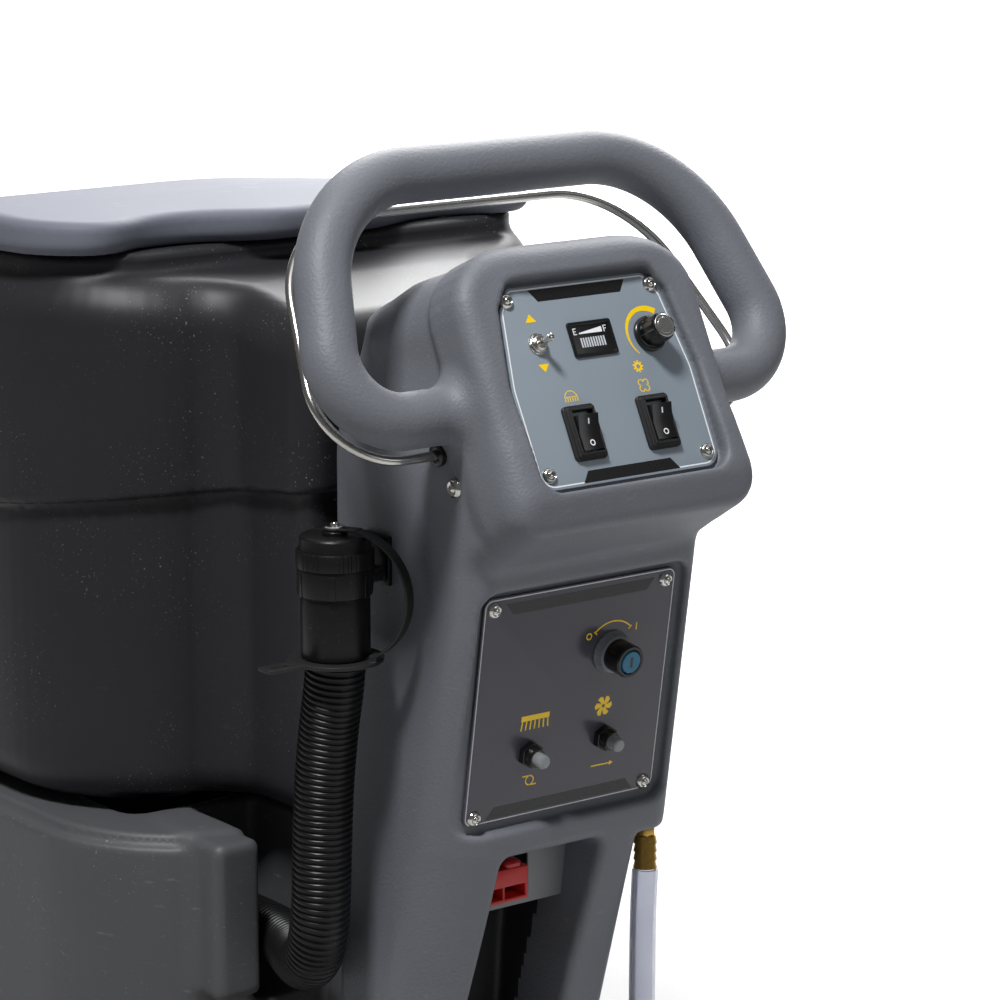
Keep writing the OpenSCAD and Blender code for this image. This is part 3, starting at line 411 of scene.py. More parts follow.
# Extruded PVC: clear and glossy at the edges, milky where it has been handled.
clear_pvc, tree, shader, place = new_finish("clear_pvc_tube")
haze = add(tree, "ShaderNodeTexNoise", {"Vector": place, "Scale": 40.0, "Detail": 3.0})
tint = add(tree, "ShaderNodeMix", {"Factor": haze.outputs["Fac"], "A": linear("#d3d6e0"), "B": linear("#e0e2ea")},
           data_type="RGBA")
tree.links.new(tint.outputs["Result"], shader.inputs["Base Color"])
film = add(tree, "ShaderNodeMapRange", {"Value": haze.outputs["Fac"], "To Min": 0.06, "To Max": 0.2})
tree.links.new(film.outputs[0], shader.inputs["Roughness"])
shader.inputs["Transmission Weight"].default_value = 0.85
shader.inputs["IOR"].default_value = 1.46

wall_rings = rings_along(level_line, level_r) + rings_along(level_line, level_bore)[::-1]
level_hose = solid("level_hose", [(np.concatenate(wall_rings), bands(len(wall_rings), len(wall_rings[0])))])
fit(level_hose, clear_pvc, "level_hose")

# ---- Console and handle ----
# One rotomoulding: a hollow column with the instrument head at its top and a loop handle grown out of its sides.
# Every edge of such a moulding is generously rounded, so it is worked out as a blend of rounded solids and skinned.

def corner(p, q, s, r):
    """Centre, start and end of the arc that rounds q."""
    p, q, s = (np.array(v[:2], float) for v in (p, q, s))
    a, b = (p - q) / np.linalg.norm(p - q), (s - q) / np.linalg.norm(s - q)
    half = math.acos(float(a @ b)) / 2
    mid = (a + b) / np.linalg.norm(a + b)
    return q + mid * r / math.sin(half), q + a * r / math.tan(half), q + b * r / math.tan(half)


def bend(p, q, s, steps):
    """Points along the arc that rounds the corner q, (x, y, radius), on its way from p to s."""
    centre, start, end = corner(p, q, s, q[2])
    first = math.atan2(*(start - centre)[::-1])
    turn = (math.atan2(*(end - centre)[::-1]) - first + 3 * math.pi) % (2 * math.pi) - math.pi
    angles = [first + turn * k / steps for k in range(steps + 1)]
    return [centre + q[2] * np.array([math.cos(a), math.sin(a)]) for a in angles]


def outline(points, steps=6):
    """Closed loop with each corner of points, (x, y, radius), rounded."""
    loop, sharpest = [], 0.2
    for i, q in enumerate(points):
        after = points[(i + 1) % len(points)]
        loop += [q[:2]] if q[2] < sharpest else bend(points[i - 1], q, after, steps)
    return np.array(loop, float)


def inset(loop, depth):
    """The loop moved inwards by depth; it runs anticlockwise."""
    along = np.roll(loop, -1, 0) - loop
    along /= np.linalg.norm(along, axis=1)[:, None]
    left = np.column_stack([-along[:, 1], along[:, 0]])
    mean = left + np.roll(left, 1, 0)
    mean /= np.linalg.norm(mean, axis=1)[:, None]
    return loop + mean * (depth / np.maximum((mean * left).sum(1), 0.3))[:, None]


# Rotomoulded polyethylene takes the mould's sand-blasted skin: pebbled and satin, with dust and a few pale rubs.
console_skin = moulded("pebbled_grey_polyethylene", "#6b6e75", "#60636a", (0.5, 0.62), 2.4, 1.0, dust=0.35, rubs=0.25)


def loop_distance(x, y, loop):
    """Distance to a closed loop, less than nothing inside it."""
    nearest = np.float32(1e9)
    sign = np.float32(1)
    for (ax, ay), (bx, by) in zip(np.roll(loop, 1, 0), loop):
        ex, ey = bx - ax, by - ay
        wx, wy = x - ax, y - ay
        t = np.clip((wx * ex + wy * ey) / (ex * ex + ey * ey), 0, 1)
        nearest = np.minimum(nearest, (wx - ex * t) ** 2 + (wy - ey * t) ** 2)
        low, high, left = y >= ay, y < by, ex * wy > ey * wx
        sign = sign * np.where((low & high & left) | (~low & ~high & ~left), -1, 1).astype(np.float32)
    return sign * np.sqrt(nearest)


def common(a, b, r):
    """What two solids share, with the edge between them rounded by r."""
    return np.minimum(np.maximum(a, b), -r) + np.hypot(np.maximum(a + r, 0), np.maximum(b + r, 0))


def merged(a, b, r):
    """Both solids, with a fillet of r where they meet."""
    return np.maximum(np.minimum(a, b), r) - np.hypot(np.maximum(r - a, 0), np.maximum(r - b, 0))


def without(a, b, r):
    return common(a, -b, r)


def slope(value, start, end):
    """Smooth rise from 0 at start to 1 at end."""
    t = np.clip((value - start) / (end - start), 0, 1)
    return t * t * (3 - 2 * t)


def skinned(name, field, low, high, step, placing=None, most=190000):
    """Mesh of the surface where field is nothing: one vertex in each cell it crosses, drawn onto the surface."""
    axes = [np.arange(low[i], high[i] + step, step, dtype=np.float32) for i in range(3)]
    value = np.ascontiguousarray(np.broadcast_to(
        field(axes[0][:, None, None], axes[1][None, :, None], axes[2][None, None, :]),
        [len(a) for a in axes])).astype(np.float32)
    value[[0, -1]] = value[:, [0, -1]] = value[:, :, [0, -1]] = 9
    inside = value < 0
    corners = [(i, j, k) for i in (0, 1) for j in (0, 1) for k in (0, 1)]
    shape = [n - 1 for n in value.shape]

    def shifted(grid, offset):
        return grid[offset[0]:offset[0] + shape[0], offset[1]:offset[1] + shape[1], offset[2]:offset[2] + shape[2]]

    filled = sum(shifted(inside, c).astype(np.uint8) for c in corners)
    active = (filled > 0) & (filled < 8)
    number = np.full(shape, -1, np.int32)
    number[active] = np.arange(active.sum())
    cells = np.argwhere(active)
    total, hits = np.zeros((len(cells), 3)), np.zeros(len(cells))
    for a in corners:
        for axis in range(3):
            if a[axis]:
                continue
            b = tuple(a[i] + (i == axis) for i in range(3))
            fa = value[tuple((cells + a).T)]
            fb = value[tuple((cells + b).T)]
            crossed = (fa < 0) != (fb < 0)
            t = np.where(crossed, fa / np.where(crossed, fa - fb, 1), 0)
            total += np.where(crossed[:, None], np.array(a) + t[:, None] * np.eye(3)[axis], 0)
            hits += crossed
    verts = (cells + total / hits[:, None]) * step + np.array([a[0] for a in axes])
    for _ in range(2):
        x, y, z = (verts[:, i].astype(np.float32) for i in range(3))
        here = field(x, y, z)
        gap = np.float32(0.5)
        lean = np.column_stack([field(x + gap, y, z) - field(x - gap, y, z),
                                field(x, y + gap, z) - field(x, y - gap, z),
                                field(x, y, z + gap) - field(x, y, z - gap)])
        verts -= np.clip(here[:, None] * lean / np.maximum((lean ** 2).sum(1), 0.2)[:, None], -0.4 * step, 0.4 * step)
    quads = []
    for axis in range(3):
        u, v = [i for i in range(3) if i != axis]
        ends = [slice(1, -1)] * 3
        ends[axis] = slice(0, -1)
        along = [slice(1, -1)] * 3
        along[axis] = slice(1, None)
        here, there = inside[tuple(ends)], inside[tuple(along)]
        for rising in (True, False):
            found = np.argwhere((here != there) & (here == rising))
            found[:, u] += 1
            found[:, v] += 1
            around = []
            for du, dv in ((0, 0), (1, 0), (1, 1), (0, 1)):
                cell = found.copy()
                cell[:, u] -= du
                cell[:, v] -= dv
                around.append(number[tuple(cell.T)])
            ring = np.column_stack(around)
            quads.append(ring if rising == (axis == 1) else ring[:, ::-1])
    quads = np.concatenate(quads)
    mesh = bpy.data.meshes.new(name)
    mesh.from_pydata(in_metres(verts, placing), [], quads)
    mesh.shade_smooth()
    made = bpy.data.objects.new(name, mesh)
    scene.collection.objects.link(made)
    if 2 * len(quads) > most:
        thin = made.modifiers.new("thin", "DECIMATE")
        thin.ratio = most / (2 * len(quads))
        bpy.context.view_layer.update()
        made.data = bpy.data.meshes.new_from_object(made.evaluated_get(bpy.context.evaluated_depsgraph_get()))
        made.data.name = name
        made.modifiers.clear()
        bpy.data.meshes.remove(mesh)
        made.data.shade_smooth()
    return made


half_console = 118.0
upper_outline = outline([(-89, -82, 14), (89, -82, 14), (90, 0, 40), (80, 62, 10), (68, 80, 8), (-68, 80, 8),
                         (-80, 62, 10), (-90, 0, 40)])
lower_outline = outline([(-97, -95, 8), (97, -95, 8), (97, 98, 8), (-97, 98, 8)])
console_profile = outline([(44, 100, 22), (-56, -97, 20), (11, -142, 20), (48, -385, 25), (95, -590, 0.1),
                           (200, -590, 0.1), (200, 38, 15), (157, 62, 15)])
head_outline = outline([(-118, -106, 24), (118, -106, 24), (118, 110, 46), (-118, 110, 46)])
opening_outline = outline([(-58, -391, 9), (-66, -480, 30), (-80, -640, 1), (24, -640, 1), (32, -500, 30),
                           (45, -391, 9)])
rim_z, back_limit = -395, 49.8
handle_r = 22.1
handle_from, handle_lean = np.array([38.0, -21.0]), math.radians(29.8)
handle_path = [(110, 0, 0), (226.5, 0, 51), (176.4, 198, 113), (0, 198, 0)]


def path_distance(x, y, path):
    """Distance to a line of straights and arcs, (x, y, radius) at each corner."""
    nearest, start = 1e9, np.array(path[0][:2], float)
    for i in range(1, len(path)):
        if i < len(path) - 1:
            centre, end, leave = corner(path[i - 1], path[i], path[i + 1], path[i][2])
        else:
            end = np.array(path[i][:2], float)
        ex, ey = end - start
        t = np.clip(((x - start[0]) * ex + (y - start[1]) * ey) / (ex * ex + ey * ey), 0, 1)
        nearest = np.minimum(nearest, np.hypot(x - start[0] - ex * t, y - start[1] - ey * t))
        if i < len(path) - 1:
            mid = (end + leave) / 2 - centre
            mid /= np.linalg.norm(mid)
            reach = float((end - centre) @ mid)
            dx, dy = x - centre[0], y - centre[1]
            far = np.hypot(dx, dy)
            facing = dx * mid[0] + dy * mid[1] > far * reach / path[i][2]
            nearest = np.where(facing, np.minimum(nearest, np.abs(far - path[i][2])), nearest)
            start = leave
    return nearest


def console_field(x, y, z):
    """Distance to the console's surface, from the upper panel's centre."""
    wide = np.abs(x)
    half = half_console - 15 * slope(z, -80, 15)
    back_edge = np.interp(z, [-600, -500, -400, -200, -120, -40, 20], [62, 60, 52, 25, 22, 24, 54])
    back_edge = np.where((x > 0) & (z < -120), 22, back_edge)
    front_edge = np.interp(z, [-40, 45], [14, 54])
    edge = (back_edge + (front_edge - back_edge) * slope(y, 105, 170)).astype(np.float32)
    # the column, with sharper edges behind than before
    side = loop_distance(y, z, console_profile)
    body = common(side, wide - half, edge)
    # the instrument head, square to the upper panel
    up = y * math.sin(upper_tilt) + z * math.cos(upper_tilt)
    out = -y * math.cos(upper_tilt) + z * math.sin(upper_tilt)
    head = common(loop_distance(x, up, head_outline), np.abs(out + 22) - 28, 15)
    body = merged(body, head, 16)
    # the loop handle, leaning back from the head
    lift = (y - handle_from[0]) * math.sin(handle_lean) + (z - handle_from[1]) * math.cos(handle_lean)
    off = -(y - handle_from[0]) * math.cos(handle_lean) + (z - handle_from[1]) * math.sin(handle_lean)
    tube = np.hypot(path_distance(wide, lift, handle_path), off) - handle_r
    body = merged(body, tube, 20)
    # the recesses of both panels
    body = without(body, common(loop_distance(x, up, inset(upper_outline, -4)), -(out + 3), 0.5), 4.0)
    below = (y - lower_at[0], z - lower_at[1])
    low_up = -below[0] * math.sin(lower_tilt) + below[1] * math.cos(lower_tilt)
    low_out = -below[0] * math.cos(lower_tilt) - below[1] * math.sin(lower_tilt)
    body = without(body, common(loop_distance(x, low_up, inset(lower_outline, -7)), -(low_out + 3), 0.5), 4.5)
    # the open back, and the slant cut off the right leg under the rim
    body = without(body, common(loop_distance(x, z, opening_outline), y - 170, 6), 8)
    body = common(body, -back_limit - y, 4)
    leg_out = 0.7732 * (x - half_console) - 0.6076 * (y - 30.3) - 0.1824 * (z + 160)
    return without(body, common(-leg_out, z - rim_z, 4), 5)


lower_at = (lower[1, 3] - console[1, 3], lower[2, 3] - console[2, 3])
console_step = 2.9
console_shell = skinned("console_shell", console_field, (-252, -78, -596), (252, 206, 178), console_step, console)

# Painted shade: the core of the column behind the opening, where no light reaches, gets a near-black finish in place
# of the grey skin.
painted_shade_core = moulded("unlit_console_core", "#1d1d1f", "#151517", (0.5, 0.6), dust=0.2)
fit(console_shell, console_skin, "console_shell")
console_shell.data.materials.append(painted_shade_core)
centres = np.empty(len(console_shell.data.polygons) * 3, np.float32)
console_shell.data.polygons.foreach_get("center", centres)
across, ahead, height = (centres.reshape(-1, 3) / MM - console[:3, 3]).T
behind_face = ahead - np.interp(height, [-590, -385], [95, 48])
unlit = (height < -386) & (across > -86) & (across < 50) & (behind_face > 60) & (ahead < 175)
console_shell.data.polygons.foreach_set("material_index", unlit.astype(np.int32))

# ---- Upper instrument panel ----
# A 3 mm polycarbonate panel in its recess, printed with a white edge line, two dark title bars with no words, and
# yellow symbols for the lamp switch, the battery, the speed dial, the brush and the vacuum.

def at_height(loop, z):
    return np.column_stack([loop, np.full(len(loop), float(z))])


def stack(rings):
    """Closed solid from rings of points, each joined to the next, with flat ends."""
    count, last = len(rings[0]), len(rings) - 1
    ends = [tuple(range(count))[::-1], tuple(range(last * count, (last + 1) * count))]
    return np.concatenate(rings), bands(len(rings), count, closed=False) + ends


def slab(loop, z0, z1, edge=0.0):
    """Plate between z0 and z1 with rounded upper and lower edges."""
    if not edge:
        return stack([at_height(loop, z0), at_height(loop, z1)])
    turns = [t * math.pi / 2 for t in (0, 0.25, 0.6, 1.0)]
    low = [at_height(inset(loop, edge * (1 - math.sin(t))), z0 + edge * (1 - math.cos(t))) for t in turns]
    high = [at_height(inset(loop, edge * (1 - math.sin(t))), z1 - edge * (1 - math.cos(t))) for t in turns[::-1]]
    return stack(low + high)


def moulding(loop, profile):
    """A closed section of (inset, z) carried round a loop."""
    rings = [at_height(inset(loop, depth) if depth else loop, z) for depth, z in profile]
    return np.concatenate(rings), bands(len(rings), len(loop))


def arc(x, y, r0, r1, start, end, steps=24, r2=None):
    """Loop of a curved band of ink; the outer radius may grow from r1 to r2."""
    turn = np.radians(np.linspace(start, end, steps))
    outer = np.linspace(r1, r1 if r2 is None else r2, steps)
    rim = np.column_stack([x + outer * np.cos(turn), y + outer * np.sin(turn)])
    bore = np.column_stack([x + r0 * np.cos(turn[::-1]), y + r0 * np.sin(turn[::-1])])
    return np.vstack([rim, bore])


def stroke(x0, y0, x1, y1, wide):
    """Loop of a straight line of ink."""
    along = np.array([x1 - x0, y1 - y0], float)
    side = np.array([-along[1], along[0]]) / np.linalg.norm(along) * wide / 2
    return np.array([(x0, y0) - side, (x1, y1) - side, (x1, y1) + side, (x0, y0) + side])


def ink(name, loops, placing, material, body="machine", slot="panel_blue", z=0.0, thick=0.12):
    """Flat printing on a face; the black key slot is drawn with it too, as painted shade."""
    piece = solid(name, [stack([at_height(loop, z), at_height(loop, z + thick)]) for loop in loops], placing)
    return fit(piece, material, body=body, slot=slot)


def printed_ink(name, colour, shade, rough):
    """Screen-printed enamel: flat colour with a slight mottle and a thin gloss."""
    material, tree, shader, place = new_finish(name)
    mottle = add(tree, "ShaderNodeTexNoise", {"Vector": place, "Scale": 900.0, "Detail": 2.0})
    tone = add(tree, "ShaderNodeMix", {"Factor": mottle.outputs["Fac"], "A": linear(shade), "B": linear(colour)},
               data_type="RGBA")
    tree.links.new(tone.outputs["Result"], shader.inputs["Base Color"])
    gloss = add(tree, "ShaderNodeMapRange", {"Value": mottle.outputs["Fac"], "To Min": rough - 0.08,
                                             "To Max": rough + 0.08})
    tree.links.new(gloss.outputs[0], shader.inputs["Roughness"])
    return material


# Fine-textured polycarbonate film: even blue grey, barely satin.
overlay_blue = moulded("blue_grey_polycarbonate_overlay", "#87919b", "#808b95", (0.34, 0.42), 0.35, 0.05)
yellow_ink = printed_ink("yellow_enamel_ink", "#ffd400", "#f2c800", 0.35)
white_ink = printed_ink("white_enamel_ink", "#eef1f4", "#e2e6ea", 0.35)
# Black enamel ink: print on the title bars, and painted shade in the screw recesses, the strap screw's slot and the
# key slot.
black_ink_and_shade = printed_ink("black_enamel_ink", "#141416", "#0f0f11", 0.3)

upper_panel = solid("upper_panel_piece", [slab(upper_outline, -panel_thick, -0.02, 0.35)], upper)
fit(upper_panel, overlay_blue, "upper_panel")
edge_line = moulding(inset(upper_outline, 2.0), [(0, -0.05), (0, 0.05), (1.1, 0.05), (1.1, -0.05)])
fit(solid("upper_edge_line", [edge_line], upper), white_ink, body="machine", slot="panel_blue")
bars = [[(-48, 76.5), (-41, 66.7), (41, 66.7), (48, 76.5)], [(-41, -70.7), (-48, -80), (48, -80), (41, -70.7)]]
ink("upper_title_bars", [np.array(b, float) for b in bars], upper, black_ink_and_shade, z=-0.02)

knob_xy, toggle_xy, gauge_xy = (56.0, 29.4), (-53.3, 33.2), (0.0, 32.2)
brush_xy, vacuum_xy = (-34.7, -41.0), (38.8, -41.0)
marks = [arc(*knob_xy, 19.5, 20.3, 225, 54, 40, 24.5)]
marks += [np.array([(-58.5, 51), (-48.1, 51), (-53.3, 57.5)], float),
          np.array([(-53.3, 10.5), (-48.1, 17), (-58.5, 17)], float)]
gear = [(r * math.cos(math.radians(a)) + 36.5, r * math.sin(math.radians(a)) + 5.0)
        for k in range(9) for a, r in ((40 * k - 11, 3.6), (40 * k - 8, 5.0), (40 * k + 8, 5.0), (40 * k + 11, 3.6))]
marks.append(np.array(gear))
marks += [arc(-36.5, -12.6, 5.6, 6.3, 12, 168, 20), stroke(-42.8, -11.6, -30.2, -11.6, 0.7)]
marks += [stroke(-42.2 + 2.3 * k, -11.6, -42.7 + 2.45 * k, -15.4, 0.7) for k in range(6)]
marks += [arc(36.8 + 3.4 * math.cos(math.radians(a)), -10.6 + 3.4 * math.sin(math.radians(a)), 2.0, 2.8,
              a - 130, a + 130, 20) for a in (45, 135, 225, 315)]
ink("upper_yellow_marks", marks, upper, yellow_ink)
ink("gear_bore", [arc(36.5, 5.0, 0.01, 1.8, 0, 359, 20)], upper, overlay_blue, z=0.1)

# ---- Lower switch panel ----
# A dark overlay under clear acrylic, with a key arc and the brush, vacuum and pump symbols.

# Dark film with a faint purple cast under clear acrylic: almost glossy.
overlay_dark = moulded("dark_purple_overlay", "#47454e", "#413f48", (0.16, 0.24), 0.35, 0.04)
silver_ink = printed_ink("silver_grey_ink", "#c9ccd2", "#bcc0c6", 0.4)

lower_panel = solid("lower_panel_piece", [slab(lower_outline, -panel_thick, -0.02, 0.35)], lower)
fit(lower_panel, overlay_dark, "lower_panel")
clear_edge = moulding(inset(lower_outline, 1.2), [(0, -0.05), (0, 0.06), (0.9, 0.06), (0.9, -0.05)])
fit(solid("lower_edge_line", [clear_edge], lower), silver_ink, body="machine", slot="panel_purple")
bars = [[(-93.9, 91.7), (-84.2, 82), (84.2, 82), (93.9, 91.7)],
        [(-84.2, -82), (-93.9, -91.7), (93.9, -91.7), (84.2, -82)]]
ink("lower_title_bars", [np.array(b, float) * (0.8, 1) for b in bars], lower, black_ink_and_shade, slot="panel_purple", z=-0.02)
lock_xy = (36.7, 34.2)
marks = [arc(*lock_xy, 25.4, 26.6, 45, 135, 30), stroke(17.5, 53.8, 20.4, 51.0, 1.2),
         stroke(55.9, 53.8, 53.0, 51.0, 1.2), stroke(-48.4, -10, -20.2, -10, 4.6)]
marks += [stroke(-46.9 + 4.2 * k, -12, -47.9 + 4.5 * k, -20, 1.2) for k in range(7)]
blade = np.array([(1.4, -0.6), (3.8, -2.6), (7.2, -3.0), (9.0, -0.4), (8.0, 2.4), (4.4, 1.2), (1.6, 1.2)])
for k in range(6):
    a = math.radians(60 * k)
    marks.append(blade @ np.array([[math.cos(a), math.sin(a)], [-math.sin(a), math.cos(a)]]) + (35.3, -12.6))
marks += [arc(-34, -64.5, 3.4, 4.4, 0, 358, 24), stroke(-41.5, -60.5, -34, -60.5, 1.1),
          stroke(-27, -68.5, -34, -68.5, 1.1)]
marks += [stroke(29, -64.5, 48, -64.5, 1.1), np.array([(48, -66.5), (52, -64.5), (48, -62.5)], float)]
ink("lower_yellow_marks", marks, lower, yellow_ink, slot="panel_purple")
ink("key_marks", [arc(12.6, 50.5, 2.0, 3.0, 0, 357, 20), stroke(61.0, 49.0, 61.0, 55.4, 1.1)], lower, yellow_ink,
    slot="panel_purple")

# ---- Panel screws ----
# Stainless cross-head screws in cupped finishing washers hold each panel at its corners; two more hold the console's
# inner bracket from the sides.

def frame_loop(x0, y0, x1, y1, r, steps=6):
    return outline([(x0, y0, r), (x1, y0, r), (x1, y1, r), (x0, y1, r)], steps)


def on_panel(placing, x, y, z=0.0):
    """A panel's placing moved to a point on it."""
    moved = placing.copy()
    moved[:3, 3] = placing[:3, 3] + placing[:3, :3] @ np.array([x, y, z])
    return moved


def from_placing(placing, x, y, z=0.0):
    return tuple(on_panel(placing, x, y, z)[:3, 3]), tuple(placing[:3, 2])


def turned(profile, segments=48, wave=None):
    """Solid of revolution about Z from (radius, z); wave(angle) scales the radius."""
    angle = np.arange(segments) * 2 * math.pi / segments
    swell = np.ones(segments) if wave is None else wave(angle)
    around = np.column_stack([np.cos(angle), np.sin(angle)])
    return stack([at_height(around * (r * swell)[:, None], z) for r, z in profile])


def point_cloud(name, points):
    mesh = bpy.data.meshes.new(name)
    mesh.from_pydata([tuple(p) for p in np.asarray(points) * MM], [], [])
    made = bpy.data.objects.new(name, mesh)
    scene.collection.objects.link(made)
    return made


def set_out(name, piece, places, material, spin=0.0):
    """One closed piece repeated at (position, facing) places, in mm, by Geometry Nodes."""
    tree, given = new_rule(name + "_rule", ["Spin"])
    holder = add(tree, "GeometryNodeObjectInfo", {"Object": piece})
    way = add(tree, "GeometryNodeInputNamedAttribute", {"Name": "facing"}, data_type="FLOAT_VECTOR")
    turn = add(tree, "FunctionNodeAlignRotationToVector", {"Vector": way.outputs["Attribute"]}, axis="Z")
    order = add(tree, "GeometryNodeInputIndex")
    step = add(tree, "ShaderNodeMath", {0: order.outputs[0], 1: given["Spin"]}, operation="MULTIPLY")
    roll = add(tree, "FunctionNodeAxisAngleToRotation", {"Axis": (0.0, 0.0, 1.0), "Angle": step.outputs[0]})
    whole = add(tree, "FunctionNodeRotateRotation", {"Rotation": turn.outputs[0], "Rotate By": roll.outputs[0]},
                rotation_space="LOCAL")
    copies = add(tree, "GeometryNodeInstanceOnPoints", {
        "Points": given["Geometry"], "Instance": holder.outputs["Geometry"], "Rotation": whole.outputs[0]})
    end_rule(tree, copies.outputs[0], material)
    cloud = point_cloud(name + "_points", [p for p, _ in places])
    facing = cloud.data.attributes.new("facing", "FLOAT_VECTOR", "POINT")
    facing.data.foreach_set("vector", np.array([f for _, f in places], np.float32).ravel())
    made = run_rule(name, cloud, tree, {"Spin": spin})
    bpy.data.objects.remove(piece)
    return made


def metal(name, colour, rough, grain_mm=0.5, stretch=(1.0, 1.0, 1.0), relief=0.15):
    """Bare or plated metal: fine drawn or cast grain over a cloudy polish."""
    material, tree, shader, place = new_finish(name)
    lay = add(tree, "ShaderNodeMapping", {"Vector": place, "Scale": stretch})
    grain = add(tree, "ShaderNodeTexNoise", {"Vector": lay.outputs[0], "Scale": 1000 / grain_mm, "Detail": 3.0})
    cloud = add(tree, "ShaderNodeTexNoise", {"Vector": place, "Scale": 30.0, "Detail": 3.0})
    tone = add(tree, "ShaderNodeMix", {"Factor": cloud.outputs["Fac"],
                                        "A": linear(colour[0]), "B": linear(colour[1])}, data_type="RGBA")
    tree.links.new(tone.outputs["Result"], shader.inputs["Base Color"])
    shader.inputs["Metallic"].default_value = 1.0
    gloss = add(tree, "ShaderNodeMapRange", {"Value": grain.outputs["Fac"], "To Min": rough[0], "To Max": rough[1]})
    tree.links.new(gloss.outputs[0], shader.inputs["Roughness"])
    bump = add(tree, "ShaderNodeBump", {"Height": grain.outputs["Fac"], "Strength": relief, "Distance": 0.0001})
    tree.links.new(bump.outputs[0], shader.inputs["Normal"])
    return material


# Stainless steel, barrel polished: bright, with soft dark reflections.
steel_bright = metal("polished_stainless_steel", ("#e3e2de", "#cfcdc8"), (0.1, 0.2), 0.3)


def cross_head(r, high, cup):
    """Pan head of radius r in a cupped washer of radius cup, and a solid cross that is painted black as the shade in
    its recess.
    """
    head = turned([(r, 0), (r, high * 0.45), (r * 0.93, high * 0.7), (r * 0.7, high * 0.9), (r * 0.4, high)], 40)
    reach = r * 0.5
    arms = [stack([at_height(stroke(-reach * c, -reach * s, reach * c, reach * s, r * 0.2), z)
                   for z in (high * 0.6, high + 0.02)]) for c, s in ((1, 0), (0, 1))]
    ring = frame_loop(-cup, -cup, cup, cup, cup - 0.05, 10)
    bore = cup - r - 0.15
    return [head, moulding(ring, [(0, 0), (0.3, 0.9), (1.6, 2.7), (2.3, 3.0), (bore, 2.4), (bore, 0)])], arms


upper_screws = [(-78.7, -70), (78.7, -70), (71.4, 70), (-71.4, 70)]
lower_screws = [(-86.7, -88.2), (86.7, -88.2), (86.7, 88.2), (-86.7, 88.2)]
places = [from_placing(upper, x, y, 0.1) for x, y in upper_screws]
places += [from_placing(lower, x, y, 0.1) for x, y in lower_screws]
heads, recesses = cross_head(3.3, 4.4, 6.5)
fit(set_out("panel_screws", solid("one_panel_screw", heads), places, steel_bright, 0.7), steel_bright,
    "panel_fasteners")
# The near-black crosses in the screw heads are painted shade, standing in for the dark of each cross recess.
fit(set_out("panel_screw_recesses", solid("one_recess", recesses), places, black_ink_and_shade, 0.7), black_ink_and_shade,
    body="machine", slot="stainless")
sides = [((s * (half_console + 0.15), console[1, 3] + 35, console[2, 3] - 78), (float(s), 0.0, 0.0)) for s in (-1, 1)]
heads, recesses = cross_head(3.5, 4.4, 8.0)
fit(set_out("side_screws_piece", solid("one_side_screw", heads), sides, steel_bright, 0.5), steel_bright,
    "side_screws")
# The side screws' crosses are painted shade in the same way.
fit(set_out("side_screw_recesses", solid("one_side_recess", recesses), sides, black_ink_and_shade, 0.5), black_ink_and_shade,
    body="machine", slot="stainless")

# ---- Lamp toggle and battery gauge ----
# A panel toggle with its ring nut and bat lever, and a battery gauge with a black bezel and a row of bars behind its
# window.

def hexagon(r, edge, start=0, steps=2):
    """Outline of a nut with corners at r, the first at start degrees."""
    points = [math.radians(a) for a in range(start, start + 360, 60)]
    return outline([(r * math.cos(a), r * math.sin(a), edge) for a in points], steps)


def block(low, high, edge=0.6):
    return slab(frame_loop(low[0], low[1], high[0], high[1], max(edge, 0.3), 2), low[2], high[2], edge)


# Drawn stainless steel: a mirror softened by fine lines along its length.
stainless = metal("drawn_stainless_steel", ("#d8d6d1", "#c4c2bd"), (0.16, 0.3), 0.4, (1.0, 1.0, 0.2))
# Glass-smooth nylon: black and glossy.
black_nylon = moulded("glossy_black_nylon", "#141416", "#101012", (0.2, 0.3), 0.5, 0.06)

ring_nut = hexagon(8, 0.6)
washer_loop = frame_loop(-8.6, -8.6, 8.6, 8.6, 8.5, 10)
thread = [p for k in range(8) for p in ((5.9, 0.2 + 0.7 * k), (5.45, 0.55 + 0.7 * k))]
neck = turned([(5.9, -6)] + thread + [(5.0, 6.0)], 40)
toggle_body = solid("toggle_body_piece", [slab(washer_loop, 0.1, 0.9, 0.2), slab(ring_nut, 0.9, 3.2, 0.35), neck,
                                          block((-8, -10, -26), (8, 10, -6))], on_panel(upper, *toggle_xy))
fit(toggle_body, stainless, "toggle_body")
bat = turned([(1.9, -1.2), (1.8, 2), (2.1, 5), (2.5, 10), (2.95, 15), (3.1, 17.4), (2.8, 19), (1.9, 19.8),
              (0.6, 20.1)], 36)
fit(solid("toggle_lever_piece", [bat], on_panel(upper, *toggle_xy)), steel_bright, "toggle_lever")

bezel_loop = frame_loop(-21.6, -14.4, 21.6, 14.4, 2.2)
gauge_bezel = moulding(bezel_loop, [(0, 0.1), (0, 1.3), (0.5, 1.9), (2.2, 1.9), (3.0, 0.9), (3.0, 0.1)])
gauge_can = block((-19, -12, -22), (19, 12, 0.6))
battery_gauge = solid("battery_gauge_piece", [gauge_bezel, gauge_can], on_panel(upper, *gauge_xy))
fit(battery_gauge, black_nylon, "battery_gauge")
wedge = np.array([(-11.5, 4.4), (11.5, 4.4), (11.5, 8.8), (-11.5, 5.4)], float)
letters = [stroke(-16.4, 4.2, -16.4, 9.4, 0.8), stroke(-16.4, 9.1, -13.6, 9.1, 0.7),
           stroke(-16.4, 6.8, -14.2, 6.8, 0.7), stroke(-16.4, 4.5, -13.6, 4.5, 0.7),
           stroke(13.6, 4.2, 13.6, 9.4, 0.8), stroke(13.6, 9.1, 16.4, 9.1, 0.7), stroke(13.6, 6.8, 15.8, 6.8, 0.7)]
